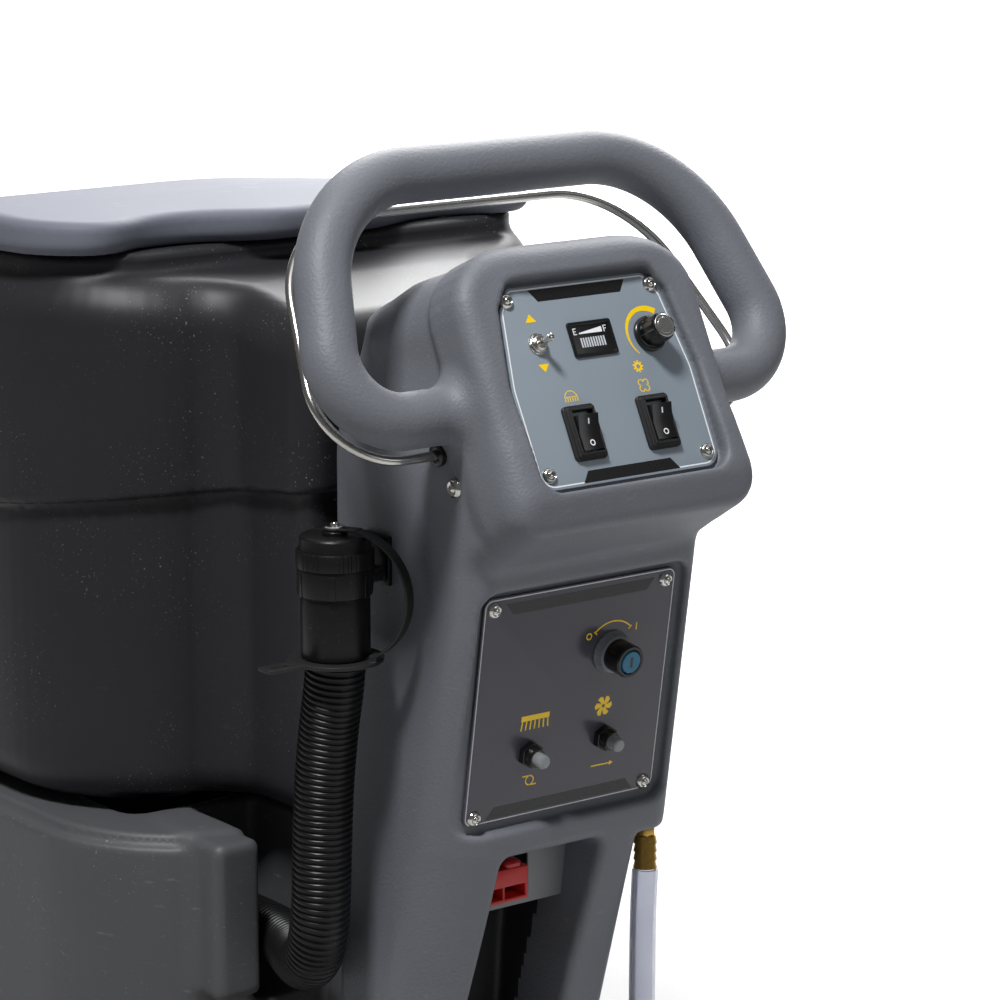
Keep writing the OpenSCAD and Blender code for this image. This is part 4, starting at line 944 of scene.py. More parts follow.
ink("gauge_scale", [wedge] + letters, on_panel(upper, *gauge_xy), white_ink, slot="gauge_face", z=0.6)
bars = [stroke(-11.2 + 2.5 * k, -6.6, -11.2 + 2.5 * k, 1.2, 1.5) for k in range(10)]
ink("gauge_bars", bars, on_panel(upper, *gauge_xy), silver_ink, slot="gauge_face", z=0.6)

# ---- Speed dial ----
# A fluted nylon knob on the potentiometer's shaft, with a turned aluminium disc let into its top.

def refined(node, material, edge=0.6, steps=2, sharp=34, angle=28):
    """The node's own shape with its facets merged and its edges rounded by edge mm."""
    source = frame["nodes"][node]
    shape = bmesh.new()
    for made in [c for c in [source, *source.children_recursive] if c.type == "MESH"]:
        part = made.data.copy()
        part.transform(made.matrix_world)
        shape.from_mesh(part)
        bpy.data.meshes.remove(part)
    bmesh.ops.remove_doubles(shape, verts=shape.verts, dist=0.00002)
    bmesh.ops.dissolve_limit(shape, angle_limit=math.radians(0.6), verts=shape.verts, edges=shape.edges)
    mesh = bpy.data.meshes.new(node)
    shape.to_mesh(mesh)
    shape.free()
    mesh.materials.clear()
    made = bpy.data.objects.new(node + "_piece", mesh)
    scene.collection.objects.link(made)
    if edge:
        ease = made.modifiers.new("ease", "BEVEL")
        ease.width, ease.segments = edge * MM, steps
        ease.limit_method, ease.angle_limit = "ANGLE", math.radians(angle)
        bpy.context.view_layer.update()
        made.data = bpy.data.meshes.new_from_object(made.evaluated_get(bpy.context.evaluated_depsgraph_get()))
        made.modifiers.clear()
        bpy.data.meshes.remove(mesh)
    made.data.shade_smooth()
    made.data.set_sharp_from_angle(angle=math.radians(sharp))
    return fit(made, material, node)


# Bright zinc plate on pressed steel: cool, a little cloudy.
zinc_plate = metal("zinc_plated_steel", ("#c8cacb", "#aeb0b1"), (0.28, 0.42), 0.6)
# Aluminium faced on a lathe: pale, with a fine even grain.
turned_aluminium = metal("turned_aluminium", ("#dcdcda", "#c9c9c8"), (0.16, 0.26), 0.2)

refined("speed_control", zinc_plate, 0.3)
flutes = turned([(11.2, 4.2), (11.6, 5.4), (11.3, 19.0), (10.9, 21.0), (10.1, 22.0)], 128,
                lambda a: 1 - 0.075 * np.clip(np.cos(8 * a), 0, 1) ** 0.6)
skirt = turned([(14.4, 0.5), (14.6, 1.6), (14.4, 3.6), (13.4, 4.5), (11.5, 5.0)], 96)
knob_place = on_panel(upper, *knob_xy)
fit(solid("speed_knob_piece", [skirt, flutes], knob_place), black_nylon, "speed_knob")
disc = turned([(9.4, 21.0), (9.4, 22.1), (9.0, 22.4), (6.6, 22.35), (6.4, 22.5), (0.5, 22.5)], 64)
fit(solid("knob_cap_piece", [disc], knob_place), turned_aluminium, "knob_cap")
aim = math.radians(-31.5)
pointer = stroke(12.2 * math.cos(aim), 12.2 * math.sin(aim), 14.3 * math.cos(aim), 14.3 * math.sin(aim), 1.2)
ink("knob_pointer", [pointer], knob_place, white_ink, body="knob", slot="black_plastic", z=4.3, thick=0.4)

# ---- Rocker switches ----
# Sealed switches: a soft bellows boot steps up from the panel round each nylon rocker, which is pressed at its foot.

# Moulded EPDM: dull black that holds dust.
soft_rubber = moulded("soft_black_rubber", "#1a1a1b", "#141415", (0.5, 0.65), 0.8, 0.15, dust=0.25)


def about_x(degrees):
    """Rows of a turn about X."""
    c, s = math.cos(math.radians(degrees)), math.sin(math.radians(degrees))
    return np.array([[1, 0, 0], [0, c, -s], [0, s, c]])


mark_y = 8.4
boot = frame_loop(-15.5, -22, 15.5, 22, 3.5)
boot_section = [(0, 0.1), (0, 2.4), (0.5, 3.0), (1.6, 3.0), (1.9, 3.3), (1.9, 4.6), (2.3, 5.0), (3.1, 5.0),
                (3.4, 5.3), (3.4, 6.4), (3.9, 7.0), (4.8, 7.0), (5.3, 6.4), (5.3, 0.1)]
for switch, at, rocker_node in (("brush", brush_xy, "brush_rocker"), ("vacuum", vacuum_xy, "vacuum_rocker")):
    place_of = on_panel(upper, *at)
    shell_parts = [moulding(boot, boot_section), moulding(frame_loop(-11.8, -18.3, 11.8, 18.3, 1.5),
                                                          [(0, -24), (0, 0.4), (1.5, 0.4), (1.5, -24)])]
    housing = solid(switch + "_boot", shell_parts, place_of)
    if switch == "brush":
        fit(housing, soft_rubber, "switch_housings")
    else:
        fit(housing, soft_rubber, body="machine", slot="black_rubber")
    refined(rocker_node, black_nylon, 0.7, 3)
    pin = on_panel(place_of, 0, 0, -2.0)
    pressed = place_of[:3, :3] @ about_x(9)
    for side, mark, marks in ((1, "on", [stroke(0, -2.2, 0, 2.2, 1.1)]),
                              (-1, "off", [arc(0, 0, 1.6, 2.5, 0, 357, 24)])):
        spot = pin.copy()
        spot[:3, :3] = pressed @ about_x(side * 10.1)
        spot[:3, 3] = pin[:3, 3] + pressed @ np.array([0, side * mark_y, 9.5 + 2.5 * mark_y / 14 + 0.02])
        ink(f"{switch}_rocker_mark_{mark}", marks, spot, white_ink, body=body_of[rocker_node], slot="black_plastic",
            thick=0.08)

# ---- Key switch and breakers ----
# A grey collared lock with a teal barrel, and two push-to-reset breakers under clear caps.

def lathe_ring(section, count=72):
    """Ring turned from a closed section of (radius, z)."""
    turns = np.arange(count) * 2 * math.pi / count
    around = np.column_stack([np.cos(turns), np.sin(turns)])
    rings = [at_height(around * r, z) for r, z in section]
    return np.concatenate(rings), bands(len(rings), count)


def clear_moulding(name, colour, rough, through):
    """Tinted see-through plastic."""
    material, tree, shader, place = new_finish(name)
    haze = add(tree, "ShaderNodeTexNoise", {"Vector": place, "Scale": 240.0, "Detail": 3.0})
    tone = add(tree, "ShaderNodeMix", {"Factor": haze.outputs["Fac"],
                                        "A": linear(colour[0]), "B": linear(colour[1])}, data_type="RGBA")
    tree.links.new(tone.outputs["Result"], shader.inputs["Base Color"])
    gloss = add(tree, "ShaderNodeMapRange", {"Value": haze.outputs["Fac"], "To Min": rough, "To Max": rough + 0.12})
    tree.links.new(gloss.outputs[0], shader.inputs["Roughness"])
    shader.inputs["Transmission Weight"].default_value = through
    shader.inputs["IOR"].default_value = 1.49
    return material


lock_place = on_panel(lower, *lock_xy)
# Grey nylon: satin, evenly coloured through.
grey_nylon = moulded("grey_nylon", "#6d7076", "#62656b", (0.35, 0.45), 0.5, 0.08)
collar = turned([(18, 0.1), (18, 1.6), (17.2, 2.6), (15.6, 7.6), (14.6, 8.2), (9.9, 8.2)], 96,
                lambda a: 1 + 0.012 * np.cos(24 * a))
fit(solid("key_switch_piece", [collar, turned([(11, -28), (11, 0.2)], 48)], lock_place), grey_nylon, "key_switch")
sleeve_ring = lathe_ring([(13.5, 8.0), (13.5, 24.6), (12.6, 26.0), (10.6, 26.0), (9.7, 25.2), (9.7, 8.0)])
fit(solid("key_sleeve", [sleeve_ring], lock_place), black_nylon, body="machine", slot="grey_plastic")
# Teal nylon: glossy and strong in colour.
teal = moulded("teal_nylon", "#0c7193", "#086282", (0.2, 0.3), 0.4, 0.05)
barrel = turned([(9.4, 4.3), (9.4, 25.6), (8.8, 26.6), (2.0, 26.6)], 72)
fit(solid("key_barrel_piece", [barrel], lock_place), teal, "key_barrel")
# The key slot is painted shade: a thin black bar on the barrel's top stands in for the dark hollow of the slot.
ink("key_slot", [stroke(0, -4.5, 0, 4.5, 2.4)], lock_place, black_ink_and_shade, body="key", slot="key_teal", z=26.5,
    thick=0.15)
# Smoked polycarbonate: a grey clear cap with a soft haze.
smoke = clear_moulding("smoked_polycarbonate", ("#b9bdc2", "#c6cace"), 0.12, 0.55)
breaker_nut = hexagon(11, 1.0, 30, 3)
bodies_made = []
for at, cap_node in (((-37.5, -40.8), "brush_breaker_cap"), ((38.7, -40.0), "vacuum_breaker_cap")):
    spot = on_panel(lower, *at)
    bodies_made += [(in_metres(v, spot) / MM, f) for v, f in (
        moulding(breaker_nut, [(0, 0.1), (0, 5.4), (0.6, 6.0), (3.2, 6.0), (3.2, 0.1)]),
        lathe_ring([(8.6, 6.0), (8.6, 8.0), (8.0, 9.0), (7.6, 12.0), (6.2, 12.0), (6.2, 6.0)], count=48),
        turned([(6.3, -6), (6.3, 2.4)], 32), block((-13, -8, -34), (13, 8, -6)))]
    dome = turned([(5.9, 7.0), (5.9, 19.0), (5.5, 20.8), (4.4, 21.8), (2.2, 22.0)], 48)
    fit(solid(cap_node + "_piece", [dome], spot), smoke, cap_node)
fit(solid("breaker_bodies_piece", bodies_made), black_nylon, "breaker_bodies")

# ---- Charging connector and controller ----
# Inside the console's open back: a folded grey bracket carries the red two-pole battery connector, and the finned
# motor controller is bolted to the front wall above it.

# Sand-cast aluminium: dull grey, coarse in grain.
cast_metal = metal("cast_aluminium", ("#a9abad", "#8d8f91"), (0.42, 0.6), 1.0, relief=0.5)

# Grey stoving paint on folded sheet: satin, rubbed at the edges.
bracket_grey = moulded("grey_painted_steel", "#84868a", "#77797d", (0.4, 0.5), 0.6, 0.1, dust=0.3, rubs=0.2)
refined("connector_bracket", bracket_grey, 1.0)
# Red polycarbonate: satin and dusty.
connector_red = moulded("red_polycarbonate", "#c3201a", "#a81914", (0.26, 0.4), 0.6, 0.08, dust=0.4)
refined("charge_connector", connector_red, 1.6, 3)
contacts = [block((x, 96, -433.6), (x + 15, 112, -429), 0.4) for x in (-54, -31)]
fit(solid("connector_contacts", contacts, console), steel_bright, body="machine", slot="connector_red")
lobe_rings = ((0, -411.2), (0, -408), (1.5, -406.2), (4.5, -405.4))
lobes = [stack([at_height(inset(frame_loop(x - 9, 81, x + 9, 134, 5), d), z) for d, z in lobe_rings])
         for x in (-46.5, -23.5)]
fit(solid("connector_lobes", lobes, console), connector_red, body="machine", slot="connector_red")
refined("motor_controller", cast_metal, 1.0)

# ---- Bail ----
# A bent stainless tube under the handle; squeezing it towards the handle lets the machine drive. It turns in nylon
# bushes in the console's sides.

bail_at, bail_lean = np.array([55.5, -55.3]), math.radians(38.5)
bail_path = [(104, 0, 0), (226.6, 0, 59), (173.4, 217, 97), (0, 217, 0)]
half_line = [np.array(bail_path[0][:2], float)]
for p, q, s in zip(bail_path, bail_path[1:], bail_path[2:]):
    half_line += bend(p, q, s, 16)
half_line.append(np.array(bail_path[-1][:2], float))
flat = np.array(half_line + [p * (-1, 1) for p in half_line[-2::-1]])
bail_line = np.column_stack([flat[:, 0], bail_at[0] + flat[:, 1] * math.sin(bail_lean),
                             bail_at[1] + flat[:, 1] * math.cos(bail_lean)])
bail_r = float(in_mm("bail")[1][2] - console[2, 3] - bail_line[:, 2].max())
fit(solid("bail_piece", [stack(rings_along(bail_line, bail_r, 40))], console, 60), stainless, "bail")
refined("bail_bushes", black_nylon, 0.5)

# ---- Drain fittings ----
# The hose's sleeve and locking collar, the threaded cap, and a rubber strap from the cap's screw down to a ring with
# a slotted tab that keeps the cap with the hose.

# Machined brass: warm, with a fine turned grain.
brass = metal("machined_brass", ("#c7a258", "#b08c45"), (0.2, 0.32), 0.3)


def spun(part, count, start=0):
    """Copies of a part turned about Z at even angles, the first at start degrees."""
    copies = []
    for k in range(count):
        t = math.radians(start) + 2 * math.pi * k / count
        turn = np.array([[math.cos(t), math.sin(t), 0], [-math.sin(t), math.cos(t), 0], [0, 0, 1]])
        copies.append((part[0] @ turn, part[1]))
    return copies


drain = on_panel(console, -165, 128, -118)
sleeve = [(26.1, -102), (27.2, -103), (27.5, -101), (27.5, -57), (27.0, -54.5), (28.0, -53.4), (29.6, -52.6),
          (30.0, -50), (30.0, -33.6), (29.4, -31.2), (23, -31.1)]
bore = [(22, -31.1), (22, -87.5), (26.0, -87.5), (26.0, -102)]
lug_y = 29.2
lugs = spun(block((-2.6, lug_y - 1.0, -53), (2.6, lug_y + 1.3, -34), 0.5), 6, 20)
drain_cuff = solid("drain_cuff_piece", [lathe_ring(sleeve + bore)] + lugs, drain)
fit(drain_cuff, black_moulding, "drain_cuff")
cap_parts = [turned([(30.9, -30.7), (31, -29.6), (31, -18.4), (30.2, -17.0)], 216,
                    lambda a: 1 - 0.02 * (np.sin(54 * a) > 0) * (np.sin(6 * a) > -0.3)),
             turned([(28.6, -17.4), (28.2, -16.2), (28, -7.6), (27.2, -6.4), (24.5, -6.0), (23.8, -6.6), (11, -6.6),
                     (10, -6.2), (10, -3.4), (9.4, -2.8)], 96),
             turned([(21.6, -38.6), (21.6, -30.5)], 64)]
fit(solid("drain_cap_piece", cap_parts, drain), black_moulding, "drain_cap")
refined("cap_strap", soft_rubber, 0.7)
screw_head = turned([(8, 0), (8, 1.0), (7.6, 1.4), (3.8, 1.4), (3.6, 2.0), (3.5, 3.2), (3.0, 3.8), (1.0, 4.0)], 48)
# The slot in the strap screw is painted shade: a thin near-black bar across the head stands in for the dark inside
# the slot.
painted_slot_shade = stack([at_height(stroke(-3, 0, 3, 0, 0.9), z) for z in (3.2, 4.02)])
fit(solid("strap_screw_piece", [screw_head], drain), steel_bright, "strap_screw")
fit(solid("strap_screw_slot", [painted_slot_shade], drain), black_ink_and_shade, body="drain_plug", slot="stainless")
refined("hose_hook", black_moulding, 1.2)
barb_place = on_panel(console, *level_route[0])
barb = [p for k in range(4) for p in ((9.8, 0.7 + 7 * k), (8.5, 7.4 + 7 * k))]
nut = hexagon(8, 0.5)
fit(solid("level_barb_piece", [turned([(6.0, 0.6)] + barb + [(7.0, 28.4)], 48), slab(nut, 28.0, 35.6, 0.5),
                               turned([(5, 35.0), (5, 46)], 32)], barb_place), brass, "level_barb")

# ---- Solution base ----
# A rotomoulded polyethylene tank, thick walled with soft edges. It has a battery well in its deck, a pedestal for the
# console, corner pads behind, a pocket for the end of the drain hose and arches over the drive wheels.

# The same rotomoulded skin in a darker grey, scuffed by boots and kerbs.
base_skin = moulded("scuffed_dark_grey_polyethylene", "#505154", "#444548", (0.48, 0.6), 1.6, 0.35, dust=0.5,
                    rubs=0.4, rub_colour="#8a8b8d")

deck_z, filler_y = 464.0, 542


def box_distance(x, y, z, low, high, r):
    """Distance to a box with edges rounded by r."""
    past = [np.abs(v - (a + b) / 2) - (b - a) / 2 for v, a, b in zip((x, y, z), low, high)]
    return common(common(past[0], past[1], r), past[2], r)


base_plan = outline([(-270, -298, 150), (270, -298, 150), (270, 596, 150), (-270, 596, 150)], 16)


def base_field(x, y, z):
    """Distance to the base's surface: the tank and its pads, less the well, the hose pocket, the arches and the
    filler neck."""
    wide = np.abs(x)
    plan = loop_distance(x, y, base_plan)
    body = common(plan, np.abs(z - 327) - 137, 11)
    body = without(body, common(-(plan + 9), 455 - z, 3), 5)
    body = merged(body, common(plan + 24, np.abs(z - 327) - 136.5, 4), 3)
    body = merged(body, box_distance(wide, y, z, (156, -312, 330), (200, -200, deck_z), 8), 10)
    body = merged(body, box_distance(x, y, z, (-113, -455, 190), (113, -238, 275), 12), 8)
    body = merged(body, box_distance(x, y, z, (-84, -358, 200), (84, -238, deck_z), 6), 6)
    body = merged(body, box_distance(wide, y, z, (50, 468, 440), (80, 486, 488), 3), 3)
    body = without(body, box_distance(x, y, z, (-205, -190, 222), (205, 330, 600), 20), 6)
    body = without(body, box_distance(x, y, z, (-153, -360, 318), (-92, -205, 520), 10), 7)
    body = without(body, box_distance(wide, y, z, (190, -177, 150), (320, 97, 264), 24), 8)
    return without(body, common(np.hypot(x, y - filler_y) - 36, 444 - z, 2), 3)


base_step = 4.6
base_tank = skinned("base_tank_piece", base_field, (-282, -468, 178), (282, 608, 500), base_step)
fit(base_tank, base_skin, "base_tank")

thread = [p for k in range(3) for p in ((35.6, 452 + 4 * k), (34.4, 454 + 4 * k))]
neck = turned([(35.6, 450)] + thread + [(35.6, 464.4)], 72)
grip = turned([(46, 464.2), (46, 474.5), (44.5, 477.4), (41, 478.2), (12, 478.2)], 144,
              lambda a: 1 - 0.018 * (np.cos(36 * a) < 0))
filler = solid("filler_cap_piece", [neck, grip, block((-30, -5, 478), (30, 5, 486), 1.5)])
filler.data.transform(Matrix.Translation((0, filler_y * MM, 0)))
fit(filler, black_moulding, "filler_cap")

# ---- Batteries and suction motor ----
# Two sealed deep-cycle batteries stand in the well, each with a ribbed case, a lid and two lead posts. The suction
# motor stands behind them, right of the middle.

# Black polypropylene battery cases: dull and dusty.
battery_case = moulded("battery_case_polypropylene", "#2f2f33", "#27272b", (0.36, 0.46), 0.6, 0.1, dust=0.4)
# Cast lead, oxidised: a soft dark grey.
lead = metal("cast_lead", ("#8f9093", "#77787b"), (0.4, 0.55), 0.8, relief=0.4)
cases, posts = [], []
case_wide, case_back, case_front = 172, 14, 320
vent, vent_faces = turned([(11, 427), (11, 429), (10, 430), (1, 430)], 32)
post, post_faces = turned([(15, 426), (15, 429), (9, 430), (8.2, 440.5), (7.4, 441.5), (1, 441.5)], 40)
for x in (-182, 10):
    middle = x + case_wide / 2
    cases += [block((x, case_back, 222.5), (x + case_wide, case_front, 404), 5),
              block((x, case_back, 398), (x + case_wide, case_front, 427.5), 4)]
    cases += [block((x + 22 + 22 * k, case_back, 240), (x + 27 + 22 * k, case_front, 392), 1) for k in range(6)]
    cases.append((vent + (middle, (case_back + case_front) / 2, 0), vent_faces))
    posts += [(post + (middle, y, 0), post_faces) for y in (44, 290)]
fit(solid("battery_cases", cases), battery_case, "batteries")
fit(solid("battery_posts", posts), lead, body="machine", slot="black_plastic")
fins = [p for k in range(6) for p in ((76, 226 + 9 * k), (76, 231 + 9 * k), (71, 232.5 + 9 * k), (71, 234 + 9 * k))]
motor_top = [(76, 282.5), (60, 284), (58, 288), (58, 358), (55, 362.5), (31, 363), (30, 366), (30, 390), (28, 392.5)]
motor, motor_faces = turned([(70, 222.5)] + fins + motor_top, 72)
fit(solid("vacuum_motor_piece", [(motor + (40, -92, 0), motor_faces)]), cast_metal, "vacuum_motor")

# ---- Chassis and drive ----
# A welded powder-coated frame of box section under the base, and the cast transaxle hung from it.

# Powder coat on welded steel: black, faintly orange-peeled, dusty and rubbed.
black_paint = moulded("black_powder_coat", "#222325", "#1a1b1c", (0.4, 0.52), 0.7, 0.3, dust=0.4, rubs=0.2)

refined("chassis_frame", black_paint, 1.6)
refined("transaxle", cast_metal, 2.0)

# ---- Recovery tank ----
# Rotomoulded in satin black: big soft corners, a belt line where the upper half steps out over the lower, a hand gap
# at the foot and a bulge behind that tucks in under the console. It tilts forwards on a pin at the front.

# Rotomoulded polyethylene from a smoother mould: satin black, with dust caught on its shoulders.
tank_skin = moulded("satin_black_polyethylene", "#2a2a2e", "#232326", (0.38, 0.48), 0.9, 0.16, dust=0.55,
                    rubs=0.12, rub_colour="#55565a", spec=0.22)

tank_plan = outline([(-267, -238, 160), (267, -238, 160), (267, 462, 160), (-267, 462, 160)], 16)
tank_side = outline([(-400, 466, 0.1), (466, 466, 20), (466, 835, 30), (420, 858, 20), (-150, 921, 60),
                     (-240, 912, 60), (-400, 882, 1)])
mouth = frame_loop(-190, -150, 190, 380, 60)
lid_plan = outline([(-262, -194, 92), (262, -194, 92), (262, 446, 150), (-262, 446, 150)], 16)


def lid_low(y):
    """Height of the lid's lower edge."""
    return np.interp(y, [-260, 0, 300, 440], [940, 931, 893, 852]).astype(np.float32)


def tank_field(x, y, z):
    """Distance to the tank's surface: its stepped outside, the lid's seat and the hand gaps, then the hollow."""
    wide = np.abs(x)
    plan = loop_distance(x, y, tank_plan)
    bulge = common(wide - 136, np.abs(y + 180) - 171, 24)
    plan = merged(plan, bulge, 26)
    belt = 742 - 0.13 * (y + 238)
    plan = merged(common(plan, belt - z, 2.5), plan + 9, 1.5)
    roof = loop_distance(y, z, tank_side)
    skin = common(plan, roof, 40)
    outer = common(skin, 466 - z, 14)
    seat = common(loop_distance(x, y, lid_plan) + 17, z - lid_low(y) + 1.5, 4)
    outer = merged(outer, common(seat, 870 - z, 2), 6)
    outer = without(outer, box_distance(wide, y, z, (90, -420, 440), (236, -170, 479), 6), 6)
    body = without(outer, common(skin + 16, 488 - z, 10), 2)
    body = without(body, common(loop_distance(x, y, mouth), 800 - z, 2), 5)
    return merged(body, box_distance(wide, y, z, (50, 446, 830), (80, 472, 881), 4), 4)


tank_step = 4.6
recovery_tank = skinned("recovery_tank_piece", tank_field, (-278, -362, 456), (278, 486, 932), tank_step)
fit(recovery_tank, tank_skin, "recovery_tank")
boss_section = [(28, 0), (28, 54), (26.4, 56), (20.5, 56), (19.0, 57.5), (19.0, 60), (19.0, 61), (19.0, 64),
                (18.8, 66), (18.8, 100), (19.0, 101.5), (19.0, 105), (18.6, 106), (16, 106), (16, 0)]
back = np.eye(4)
back[:3, :3] = [[1, 0, 0], [0, 0, -1], [0, 1, 0]]
back[:3, 3] = (194, -191, 650)
spigot = solid("tank_suction_spigot", [lathe_ring(boss_section)], back)
fit(spigot, black_moulding, body="tank", slot="moulded_black")
knuckle = [block((-48, 452, 468), (48, 484, 488), 4)]
fit(solid("tank_hinge_block", knuckle), tank_skin, body="tank", slot="moulded_black")
refined("hinge_pins", stainless, 0.8)
refined("float_cage", black_moulding, 0.8)

# ---- Lid ----
# A pale rotomoulded lid, crowned in the middle and falling to the front, with a soft thick rim and a finger scallop
# at each back corner. It swings up on a pin at the front of the tank.

# Pale grey rotomoulded skin: even and matt, with dim broad highlights.
lid_skin = moulded("satin_pale_grey_polyethylene", "#6d707b", "#656872", (0.55, 0.68), 1.1, 0.12, dust=0.1, rubs=0.12,
                   rub_colour="#b9bcc6", spec=0.2)

lid_side = outline([(-260, 938, 1), (-260, 963, 1), (-150, 967, 60), (-60, 968, 90), (60, 962, 300), (430, 898, 14),
                    (520, 875, 1), (520, 838, 1), (440, 852, 60), (300, 893, 60), (0, 931, 60)])
lid_belly = outline([(-270, 946, 1), (-90, 951, 120), (60, 946, 300), (406, 882, 8), (520, 850, 1), (520, 780, 1),
                     (-270, 780, 1)])


def on_axle(x, y, z, side=1.0):
    """Placing of a part turned about an axle along X."""
    placing = np.eye(4)
    placing[:3, :3] = [[0, 0, side], [0, 1, 0], [-side, 0, 0]]
    placing[:3, 3] = (x, y, z)
    return placing


def lid_field(x, y, z):
    """Distance to the lid's surface: its scalloped plan, its side, its crown and its hollow underside."""
    wide = np.abs(x)
    plan = loop_distance(x, y, lid_plan)
    scallop = np.hypot((wide - 140) / 60, (y + 200) / 36) - 1
    plan = without(plan, scallop * 36, 26)
    body = common(plan, loop_distance(y, z, lid_side), 11)
    crown = np.interp(y, [-200, -60, 60, 430], [966, 967, 957, 899]).astype(np.float32) - 13 * slope(x, 0, 230)
    body = common(body, z - crown, 9)
    return without(body, common(plan + 15, loop_distance(y, z, lid_belly), 6), 2)


lid_step = 3.8
lid = skinned("lid_piece", lid_field, (-272, -204, 838), (272, 456, 972), lid_step)
fit(lid, lid_skin, "lid")
hinge_rod = lathe_ring([(10.9, -48), (11, -46), (11, 46), (10.9, 48), (5.2, 48), (5.2, -48)])
fit(solid("lid_hinge_barrel", [hinge_rod], on_axle(0, 462, 872)), lid_skin, body="lid", slot="moulded_lid")
fit(solid("lid_hinge_web", [block((-47, 438, 866.5), (47, 455, 875.5), 1.5)]), lid_skin, body="lid",
    slot="moulded_lid")

# ---- Wheels and casters ----
# Two drive wheels with solid rubber tyres on cast hubs, and two swivel casters behind that carry the operator's end.

# Solid black tyre rubber: matt, grey with floor dust.
tyre_rubber = moulded("solid_tyre_rubber", "#2b2b2d", "#222224", (0.6, 0.75), 0.8, 0.4, dust=0.7)
# Grey non-marking rubber: matt and evenly soiled.
caster_rubber = moulded("grey_non_marking_rubber", "#8a8c8f", "#7a7c7f", (0.5, 0.62), 0.6, 0.2, dust=0.5)
wheel_r, wheel_x, axle_y = 125.0, 227.0, -40.0
tread_r, lug_count = wheel_r - 0.4, 48
caster_r, caster_x, caster_y = 50.0, 160.0, -372.0

for side, name in ((-1, "left"), (1, "right")):
    tyre_place = on_axle(side * wheel_x, axle_y, wheel_r, side)
    tread = [(87, -27), (88, -27), (119, -26.6), (123, -24), (tread_r, -19), (tread_r, 19), (123, 24), (119, 26.6),
             (88, 27), (87, 27)]
    fit(solid(name + "_tyre_piece", [lathe_ring(tread, count=120)], tyre_place), tyre_rubber, name + "_tyre")
    lug = solid("one_lug", [block((-10.5, -1.6, -0.6), (10.5, 1.6, 0.35), 0.3)])
    lug_places = []
    for k in range(lug_count):
        for row in (-12.5, 12.5):
            a = 2 * math.pi * k / lug_count + (math.pi / lug_count if row > 0 else 0)
            out = np.array([0.0, math.sin(a), math.cos(a)])
            lug_places.append(((side * wheel_x + row, axle_y, wheel_r) + tread_r * out, out))
    tread_lugs = set_out(name + "_tyre_lugs", lug, lug_places, tyre_rubber)
    fit(tread_lugs, tyre_rubber, body=body_of[name + "_tyre"], slot="tyre_rubber")
    hub_section = [(10, -27), (87, -27), (87, 27), (84, 27), (80, 24), (78, 12), (34, 9), (30, 14), (28, 26),
                   (26, 27), (10.2, 27)]
    axle = turned([(10, -187), (10, 33.5), (9, 35)], 32)
    hub = solid(name + "_hub_piece", [lathe_ring(hub_section, count=96), axle], tyre_place)
    fit(hub, cast_metal, name + "_hub")
    spokes = solid(name + "_hub_ribs", spun(block((32, -4, 8), (79, 4, 22), 1.5), 6), tyre_place)
    fit(spokes, cast_metal, body=body_of[name + "_hub"], slot="cast_grey")
    refined(name + "_caster_fork", zinc_plate, 0.9)
    half_roller = [(4.1, -17), (15.6, -17), (16, -16), (20, -15.4), (34, -14), (44, -16), (48.4, -14.4),
                   (caster_r, -9)]
    roller = lathe_ring(half_roller + [(r, -z) for r, z in half_roller[::-1]], count=96)
    caster = solid(name + "_caster_wheel_piece", [roller], on_axle(side * caster_x, caster_y, caster_r))
    fit(caster, caster_rubber, name + "_caster_wheel")

# ---- Brush deck ----
# Two arms lift a spun steel deck with the brush motor on it. The disc brush is a nylon block drilled with rings of
# blue bristle tufts.

refined("deck_arms", black_paint, 1.0)
refined("brush_deck", black_paint, 2.0)
refined("brush_motor", cast_metal, 2.0)
refined("brush_disc", black_moulding, 1.5)
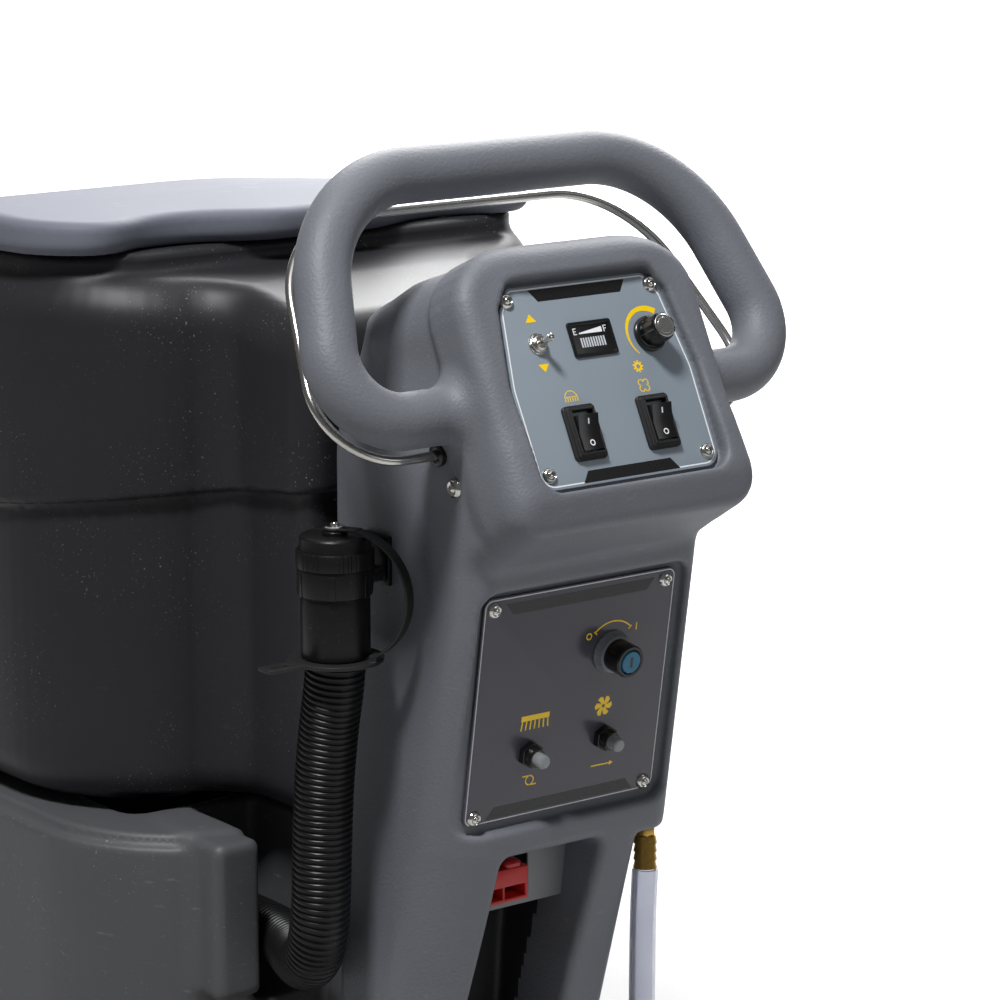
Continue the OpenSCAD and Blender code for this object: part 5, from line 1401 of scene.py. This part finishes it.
# Blue nylon bristle: satin strands, drawn thicker than real ones so that they show.
bristle_blue = moulded("blue_nylon_bristle", "#2f5fa6", "#264f8c", (0.35, 0.5), 0.4, 0.1)
tuft_parts = []
sixths = np.arange(6) * math.pi / 3
strand = np.column_stack([np.cos(sixths), np.sin(sixths)])
for k in range(7):
    root = np.array([math.cos(k * 1.05), math.sin(k * 1.05)]) * (2.1 if k else 0)
    tuft_parts.append(stack([at_height(strand * 1.15 + root, 0),
                             at_height(strand * 1.1 + root * 1.9, 46 - 0.6 * (k % 3))]))
tuft = solid("one_tuft", tuft_parts)
tuft_places = []
tuft_gap, brush_y = 13.5, 340
for ring, radius in enumerate(np.linspace(118, 244, 10)):
    count = int(2 * math.pi * radius / tuft_gap)
    for k in range(count):
        a = 2 * math.pi * (k + 0.5 * (ring % 2)) / count
        tuft_places.append(((radius * math.cos(a), brush_y + radius * math.sin(a), 48.0), (0.0, 0.0, -1.0)))
bristles = set_out("brush_bristles_piece", tuft, tuft_places, bristle_blue, 0.9)
fit(bristles, bristle_blue, "brush_bristles")

# ---- Pedals ----
# Steel foot pedals at the back: the right one lifts the brush deck, the left one the squeegee.

# Yellow powder coat, worn to grey steel by boots.
yellow_coat = moulded("yellow_powder_coat", "#d9a815", "#c79a12", (0.32, 0.42), 0.6, 0.2, dust=0.4, rubs=0.5,
                      rub_colour="#6e6a60")
for side, node in ((1, "brush_pedal"), (-1, "squeegee_pedal")):
    refined(node, yellow_coat, 1.6)
    treads = [block((side * 256 - 22, y, 181.6), (side * 256 + 22, y + 5, 181.95), 0.3) for y in range(-472, -434, 9)]
    fit(solid(node + "_grip", treads), soft_rubber, body=body_of[node], slot="pedal_yellow")

# ---- Squeegee ----
# A cast aluminium squeegee bar on a swinging arm, with gum rubber blades clamped before and behind.

# Red-brown gum rubber: matt, a little dusty.
gum_rubber = moulded("red_brown_gum_rubber", "#8e4a2b", "#7d4025", (0.45, 0.6), 0.6, 0.15, dust=0.3)
refined("squeegee_arm", black_paint, 1.2)
refined("squeegee_body", cast_metal, 1.2)
refined("squeegee_blades", gum_rubber, 0.5)

# ---- Final update ----
# The finished machine stays inside the box of its frame; the view layer is updated once more.

bpy.context.view_layer.update()
